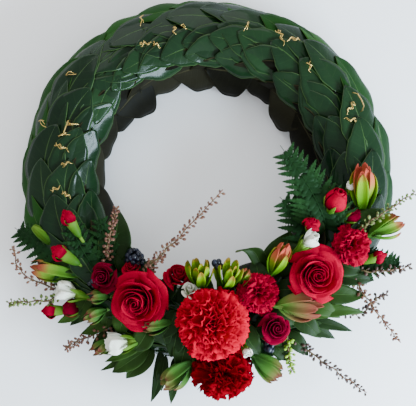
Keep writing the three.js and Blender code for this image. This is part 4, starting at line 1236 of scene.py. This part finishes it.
def fernFrond(cuttings, spec, rng):
    steps, count = fernShape["steps"], spec["pairs"]
    run = spline([polar(*point) for point in spec["route"]], steps)
    cuttings.tube(run, np.linspace(*fernShape["stemRadii"], steps), 7)
    for i in range(count * 2):
        along = fernShape["bare"] + 0.76 * (i // 2) / count
        k = int(along * (steps - 1))
        root = run[k]
        heading = unit(run[min(k + 1, steps - 1)] - root)
        side = unit(np.cross(heading, up) * (1 if i % 2 == 0 else -1))
        outward = unit(side * fernShape["leaning"][0] + heading * fernShape["leaning"][1])
        across = np.cross(up, outward)
        reach = spec["reach"] * (1.08 - 0.80 * along) * rng.uniform(0.93, 1.05)
        width = reach * fernShape["slender"] + 1.3
        droop = rng.uniform(0.04, 0.14) * reach

        def leaflet(u, v):
            lobes = 0.55 + 0.45 * (1 - (u * fernShape["teeth"]) % 1.0)    # teeth that point to the tip
            half = width * (1.02 - u ** 1.5) * np.where(u < 0.16, 1.25, lobes) + 0.25
            outwards = u * reach + 0.55 * np.abs(v) * half
            lower = -droop * u * u - 0.12 * half * np.abs(v) + 0.5 * np.sin(u * 22) * np.abs(v)
            return (root + outward * outwards[..., None] + across * (v * half)[..., None]
                    + up * lower[..., None])

        cuttings.sheet(leaflet, fernShape["leafletSteps"], fernShape["thickness"], rng.uniform(0.2, 0.8))


for node, spec in ferns.items():
    cuttings = Cuttings()
    fernFrond(cuttings, spec, np.random.default_rng(spec["seed"]))
    cuttings.build(pieceName(node), ["fernFrond", "flowerStem"], "fern_frond", (node,) if "_" in node else ())
print("ferns made:", len(ferns))

# Sprigs of small buds, along routes like the ferns'
sprigs = {
    "sprig_inner": {"route": [(241, 134, 42), (238, 109, 74), (246, 70, 98), (315, 23, 110)], "buds": 96,
        "bushy": 1.15, "colour": "sprigBud", "seed": 71},
    "sprig_left": {"route": [(224, 164, 42), (216, 193, 50), (207, 214, 54), (199, 212, 60)], "buds": 40,
        "colour": "sprigBud", "seed": 72},
    "sprig_right_upper": {"route": [(335, 158, 42), (344, 172, 76), (350, 190, 82), (356, 214, 84)],
        "buds": 44, "colour": "greenSprigBud", "seed": 73},
    "sprig_right_middle": {"route": [(325, 168, 40), (325, 190, 52), (322, 226, 48), (320, 266, 36)],
        "buds": 50, "colour": "sprigBud", "seed": 74},
    "sprig_right_low": {"route": [(298, 168, 38), (300, 200, 46), (304, 240, 42), (307, 278, 34)],
        "buds": 64, "colour": "darkSprigBud", "seed": 75},
    "sprigInnerLeft": {"route": [(226, 138, 42), (217, 127, 66), (208, 108, 84), (199, 95, 90)], "buds": 60,
        "colour": "sprigBud", "seed": 81},
    "sprigLeftLow": {"route": [(222, 168, 40), (218, 203, 48), (214, 228, 44), (212, 244, 42)], "buds": 44,
        "colour": "greenSprigBud", "seed": 82},
    "sprigLowLeft": {"route": [(238, 166, 38), (236, 188, 46), (232, 212, 42), (230, 230, 38)], "buds": 56,
        "bushy": 1.3, "colour": "sprigBud", "seed": 83},
    "sprigRightEnd": {"route": [(327, 168, 42), (330, 192, 54), (334, 216, 54), (337, 232, 50)], "buds": 32,
        "colour": "darkSprigBud", "seed": 84},
    "sprigRightUnder": {"route": [(314, 168, 38), (318, 210, 42), (324, 216, 42), (328, 224, 40)],
        "buds": 36, "colour": "darkSprigBud", "seed": 85},
    "sprigLime": {"route": [(296, 166, 40), (297, 186, 52), (295, 204, 46), (294, 220, 40)], "buds": 46,
        "colour": "limeSprigBud", "seed": 86},
}
sprigShape = {
    "steps": 44,
    "waver": 0.8,
    "twigRadii": (1.25, 0.5),
    "bare": 0.24,              # the share of the twig that has no buds
    "stalks": (3.4, 6.6),
    "stalkRadius": 0.42,
    "buds": (1.15, 1.85),
    "stretch": 1.4,
    "facets": (7, 5),
}


def budSprig(cuttings, spec, rng):
    steps, bare = sprigShape["steps"], sprigShape["bare"]
    run = spline([polar(*point) for point in spec["route"]], steps)
    swings = np.arange(steps)[:, None] * [0.9, 0.7, 0.8] + rng.uniform(0, 6, 3)
    run = run + sprigShape["waver"] * np.sin(swings)
    cuttings.tube(run, np.linspace(*sprigShape["twigRadii"], steps), 7, 0.5, 1)
    for i in range(spec["buds"]):
        along = bare + (1 - bare) * (i + rng.uniform(-0.3, 0.3)) / spec["buds"]
        k = int(np.clip(along, 0, 1) * (steps - 1))
        heading = unit(run[min(k + 1, steps - 1)] - run[max(k - 1, 0)])
        turn = i * goldenTurn
        side = unit(np.cross(heading, up))
        raised = np.cross(side, heading)
        outward = math.cos(turn) * side + math.sin(turn) * raised + heading * rng.uniform(0.3, 0.9)
        outward = unit(outward)
        reach = rng.uniform(*sprigShape["stalks"]) * (1.2 - 0.65 * along) * spec.get("bushy", 1.0)
        tip = run[k] + outward * reach
        stalk = spline([run[k], blendTo(run[k], tip, 0.6) + 0.4 * up, tip], 4)
        cuttings.tube(stalk, sprigShape["stalkRadius"], 5, 0.5, 1)
        grown = rng.uniform(*sprigShape["buds"]) * (1.15 - 0.35 * along)
        cuttings.ball(tip, grown, outward, sprigShape["stretch"], sprigShape["facets"], rng.uniform(0.1, 0.9))


for node, spec in sprigs.items():
    cuttings = Cuttings()
    budSprig(cuttings, spec, np.random.default_rng(spec["seed"]))
    cuttings.build(pieceName(node), [spec["colour"], "sprigTwig"], "sprig_twig",
                   (node,) if "_" in node else ())
print("sprigs made:", len(sprigs))

# Loose leaves in the spray, each as foot, tip, width, arch and tone
sprayLeafSets = {
    "sprayLeavesLow": {"replaces": ("spray_leaves_low",), "leaves": [
        ((251, 186, 40), (244, 224, 34), 20, 6, 0.5), ((253, 186, 38), (248, 224, 30), 20, 6, 0.45),
        ((255, 184, 36), (256, 240, 22), 13, 6, 0.1), ((257, 188, 38), (258, 226, 26), 12, 6, 0.2),
        ((260, 188, 34), (261, 238, 20), 12, 6, 0.15), ((246, 178, 40), (238, 213, 34), 18, 7, 0.5),
        ((247, 190, 34), (241, 228, 30), 8, 4, 0.5), ((273, 196, 36), (273, 232, 28), 5, 2, 0.6)]},
    "sprayLeavesLeft": {"leaves": [
        ((222, 158, 46), (227, 204, 42), 18, 7, 0.5), ((216, 152, 50), (209, 184, 54), 18, 7, 0.4),
        ((222, 132, 54), (200, 96, 58), 34, 8, 0.15), ((231, 158, 48), (236, 190, 44), 20, 7, 0.45),
        ((238, 156, 48), (241, 186, 46), 22, 9, 0.5), ((230, 130, 52), (219, 104, 54), 22, 6, 0.2),
        ((238, 128, 52), (237, 100, 52), 20, 6, 0.15), ((207, 152, 54), (200, 176, 52), 14, 6, 0.6),
        ((214, 164, 46), (216, 194, 44), 14, 6, 0.7), ((226, 166, 44), (223, 192, 40), 14, 6, 0.3),
        ((235, 174, 45), (231, 207, 43), 13, 5, 0.75), ((231, 170, 46), (227, 208, 42), 13, 5, 0.2),
        ((226, 184, 46), (224, 215, 44), 11, 4, 0.85), ((239, 184, 42), (236, 215, 40), 15, 4, 0.4),
        ((249, 182, 44), (241, 217, 42), 11, 5, 0.75)]},
    # these leaves between the heads take low tones: painted shade for the deep shade that falls between the
    # flowers
    "sprayLeavesMiddle": {"leaves": [
        ((248, 136, 52), (252, 104, 56), 22, 6, 0.1), ((258, 136, 52), (262, 98, 56), 20, 6, 0.1),
        ((252, 150, 60), (257, 178, 56), 22, 6, 0.12), ((257, 140, 62), (254, 172, 60), 20, 6, 0.1),
        ((259, 152, 56), (259, 188, 50), 22, 6, 0.15), ((249, 162, 54), (247, 194, 46), 22, 8, 0.35),
        ((288, 132, 56), (294, 98, 62), 20, 8, 0.3), ((296, 130, 58), (301, 96, 60), 22, 8, 0.1),
        ((305, 124, 50), (328, 103, 56), 40, 8, 0.35), ((283, 152, 58), (287, 190, 54), 24, 7, 0.2),
        ((264, 160, 50), (262, 200, 44), 24, 8, 0.25), ((290, 154, 58), (294, 190, 50), 22, 7, 0.15),
        ((298, 146, 58), (301, 176, 58), 20, 6, 0.3), ((302, 136, 58), (311, 150, 60), 22, 5, 0.15),
        ((270, 132, 56), (272, 102, 60), 18, 6, 0.3), ((277, 134, 56), (284, 100, 60), 18, 6, 0.2)]},
    "sprayLeavesRight": {"leaves": [
        ((301, 168, 54), (320, 216, 46), 15, 8, 0.65), ((304, 176, 46), (314, 220, 38), 12, 5, 0.1),
        ((299, 172, 46), (309, 214, 38), 17, 6, 0.15), ((302, 160, 50), (306, 204, 42), 20, 8, 0.25),
        ((312, 160, 50), (324, 206, 44), 22, 9, 0.4), ((327, 154, 54), (330, 190, 50), 22, 8, 0.2),
        ((338, 152, 56), (341, 188, 58), 20, 8, 0.3), ((318, 132, 54), (321, 104, 58), 22, 7, 0.2),
        ((333, 132, 56), (342, 110, 62), 20, 8, 0.2), ((345, 140, 56), (355, 118, 64), 18, 7, 0.2),
        ((342, 160, 58), (350, 184, 68), 18, 6, 0.35), ((296, 176, 48), (300, 212, 40), 18, 7, 0.2),
        ((292, 178, 46), (295, 208, 38), 18, 7, 0.3), ((307, 158, 56), (314, 200, 50), 18, 9, 0.7),
        ((322, 160, 52), (329, 204, 48), 16, 7, 0.1)]},
}
looseShape = {"teeth": 22, "toothDepth": 0.02, "bow": 0.08, "fold": 0.16, "wave": 0.8, "steps": (22, 8),
              "thickness": 0.5, "seed": 2000}


def looseLeaf(cuttings, foot, tip, width, arch, tone, seed):
    rng = np.random.default_rng(seed)
    start, end = polar(*foot), polar(*tip)
    run = end - start
    length = np.linalg.norm(run)
    side = unit(np.cross(up, run / length))
    raised = np.cross(run / length, side)
    bow = rng.uniform(-looseShape["bow"], looseShape["bow"]) * length
    phase = rng.uniform(0, anyPhase)

    def place(u, v):
        outline = leafOutline(u, width)
        teeth = ((u * looseShape["teeth"]) % 1.0) * looseShape["toothDepth"] * width * smooth(0.1, 0.2, u)
        reach = v * (outline + teeth * np.abs(v) ** 4) + bow * 4 * u * (1 - u)
        height = arch * 4 * u * (1 - u) + looseShape["fold"] * np.abs(v) * outline
        height = height + looseShape["wave"] * np.sin(u * 11 + phase) * v * np.abs(v)
        return start + run * u[..., None] + side * reach[..., None] + raised * height[..., None]

    cuttings.sheet(place, looseShape["steps"], looseShape["thickness"], tone)


for n, (name, facts) in enumerate(sprayLeafSets.items()):
    cuttings = Cuttings()
    for k, leaf in enumerate(facts["leaves"]):
        looseLeaf(cuttings, *leaf, looseShape["seed"] + 50 * n + k)
    cuttings.build(name, ["sprayLeaf"], "camellia_leaf", facts.get("replaces", ()))

# One long leaf that curls over at the inner edge of the spray
curlRoute = [(299, 128, 52), (302, 108, 60), (303, 92, 74), (299, 84, 78), (292, 83, 72)]
curlShape = {"steps": 26, "halfWidth": 9, "fold": 0.30, "faces": (10, 88), "tone": 0.3}
curlLine = spline([polar(*point) for point in curlRoute], curlShape["steps"])


def curledLeaf(u, v):
    last = curlShape["steps"] - 1
    low = np.minimum((u * last).astype(int), last - 1)
    middle = blendTo(curlLine[low], curlLine[low + 1], (u * last - low)[..., None])
    half = curlShape["halfWidth"] * np.maximum((4 * u * (1 - u)) ** 0.6, 0.05)
    across = facing(*curlShape["faces"]) * (-v * half)[..., None]
    return middle + across + up * (curlShape["fold"] * np.abs(v) * half)[..., None]


curl = Cuttings()
curl.sheet(curledLeaf, (curlShape["steps"], 8), looseShape["thickness"], curlShape["tone"])
curl.build("curledLeaf", ["sprayLeaf"], "camellia_leaf")
print("spray leaves laid:", len(sprayLeafSets) + 1, "groups")

# Places and sizes in millimetres about the ring's centre, power in watts
cameraFacts = {"place": (2, -115, 1345), "target": (2, -24, 40), "lens": 107.6, "sensor": 36}
lights = {
    "window": {"place": (980, -430, 500), "size": (520, 340), "power": 38, "colour": (0.66, 0.84, 1.0)},
    "lowWindow": {"place": (760, -900, 560), "size": (480, 340), "power": 30, "colour": (0.66, 0.84, 1.0)},
    "key": {"place": (-300, 1700, 1000), "size": (2600, 1700), "power": 38, "colour": (0.98, 0.99, 1.0)},
    "fill": {"place": (500, -1800, 1100), "size": (2600, 1700), "power": 9, "colour": (1.0, 0.98, 0.96)},
}
lightTarget = (0, 0, 30)
studio = {"colour": (0.92, 0.96, 1.0), "strength": 1.15}
floorFacts = {"reach": 4.0, "roughness": 0.8, "pale": ((0.91, 0.91, 0.91), (0.94, 0.94, 0.94))}


def fromRing(point):
    x, y = ring["centre"]
    return Vector((x + point[0] * metre, y + point[1] * metre, point[2] * metre))


def pointAt(thing, target):
    thing.rotation_euler = (fromRing(target) - thing.location).to_track_quat("-Z", "Y").to_euler()


cameraData = bpy.data.cameras.new("camera")
cameraData.lens = cameraFacts["lens"]
cameraData.sensor_width = cameraFacts["sensor"]
camera = bpy.data.objects.new("camera", cameraData)
camera.location = fromRing(cameraFacts["place"])
pointAt(camera, cameraFacts["target"])
bpy.context.scene.collection.objects.link(camera)
bpy.context.scene.camera = camera

for name, facts in lights.items():
    lightData = bpy.data.lights.new(name, "AREA")
    lightData.shape = "RECTANGLE"
    lightData.size, lightData.size_y = facts["size"][0] * metre, facts["size"][1] * metre
    lightData.energy = facts["power"]
    lightData.color = facts["colour"]
    light = bpy.data.objects.new(name, lightData)
    light.location = fromRing(facts["place"])
    pointAt(light, lightTarget)
    bpy.context.scene.collection.objects.link(light)

world = bpy.data.worlds.new("studio")
world.use_nodes = True
sky = world.node_tree.nodes["Background"].inputs
sky["Color"].default_value = (*studio["colour"], 1)
sky["Strength"].default_value = studio["strength"]
bpy.context.scene.world = world

floorFinish = Finish("paleFloor", Roughness=floorFacts["roughness"])
floorFinish.feed("Base Color", floorFinish.mix(floorFinish.noise(3, 4), *floorFacts["pale"]))
reach = floorFacts["reach"]
floorMesh = bpy.data.meshes.new("floor")
floorMesh.from_pydata([(-reach, -reach, 0), (reach, -reach, 0), (reach, reach, 0), (-reach, reach, 0)], [],
                      [(0, 1, 2, 3)])
floorMesh.materials.append(floorFinish.material)
floor = bpy.data.objects.new("floor", floorMesh)
bpy.context.scene.collection.objects.link(floor)
print("stage set")
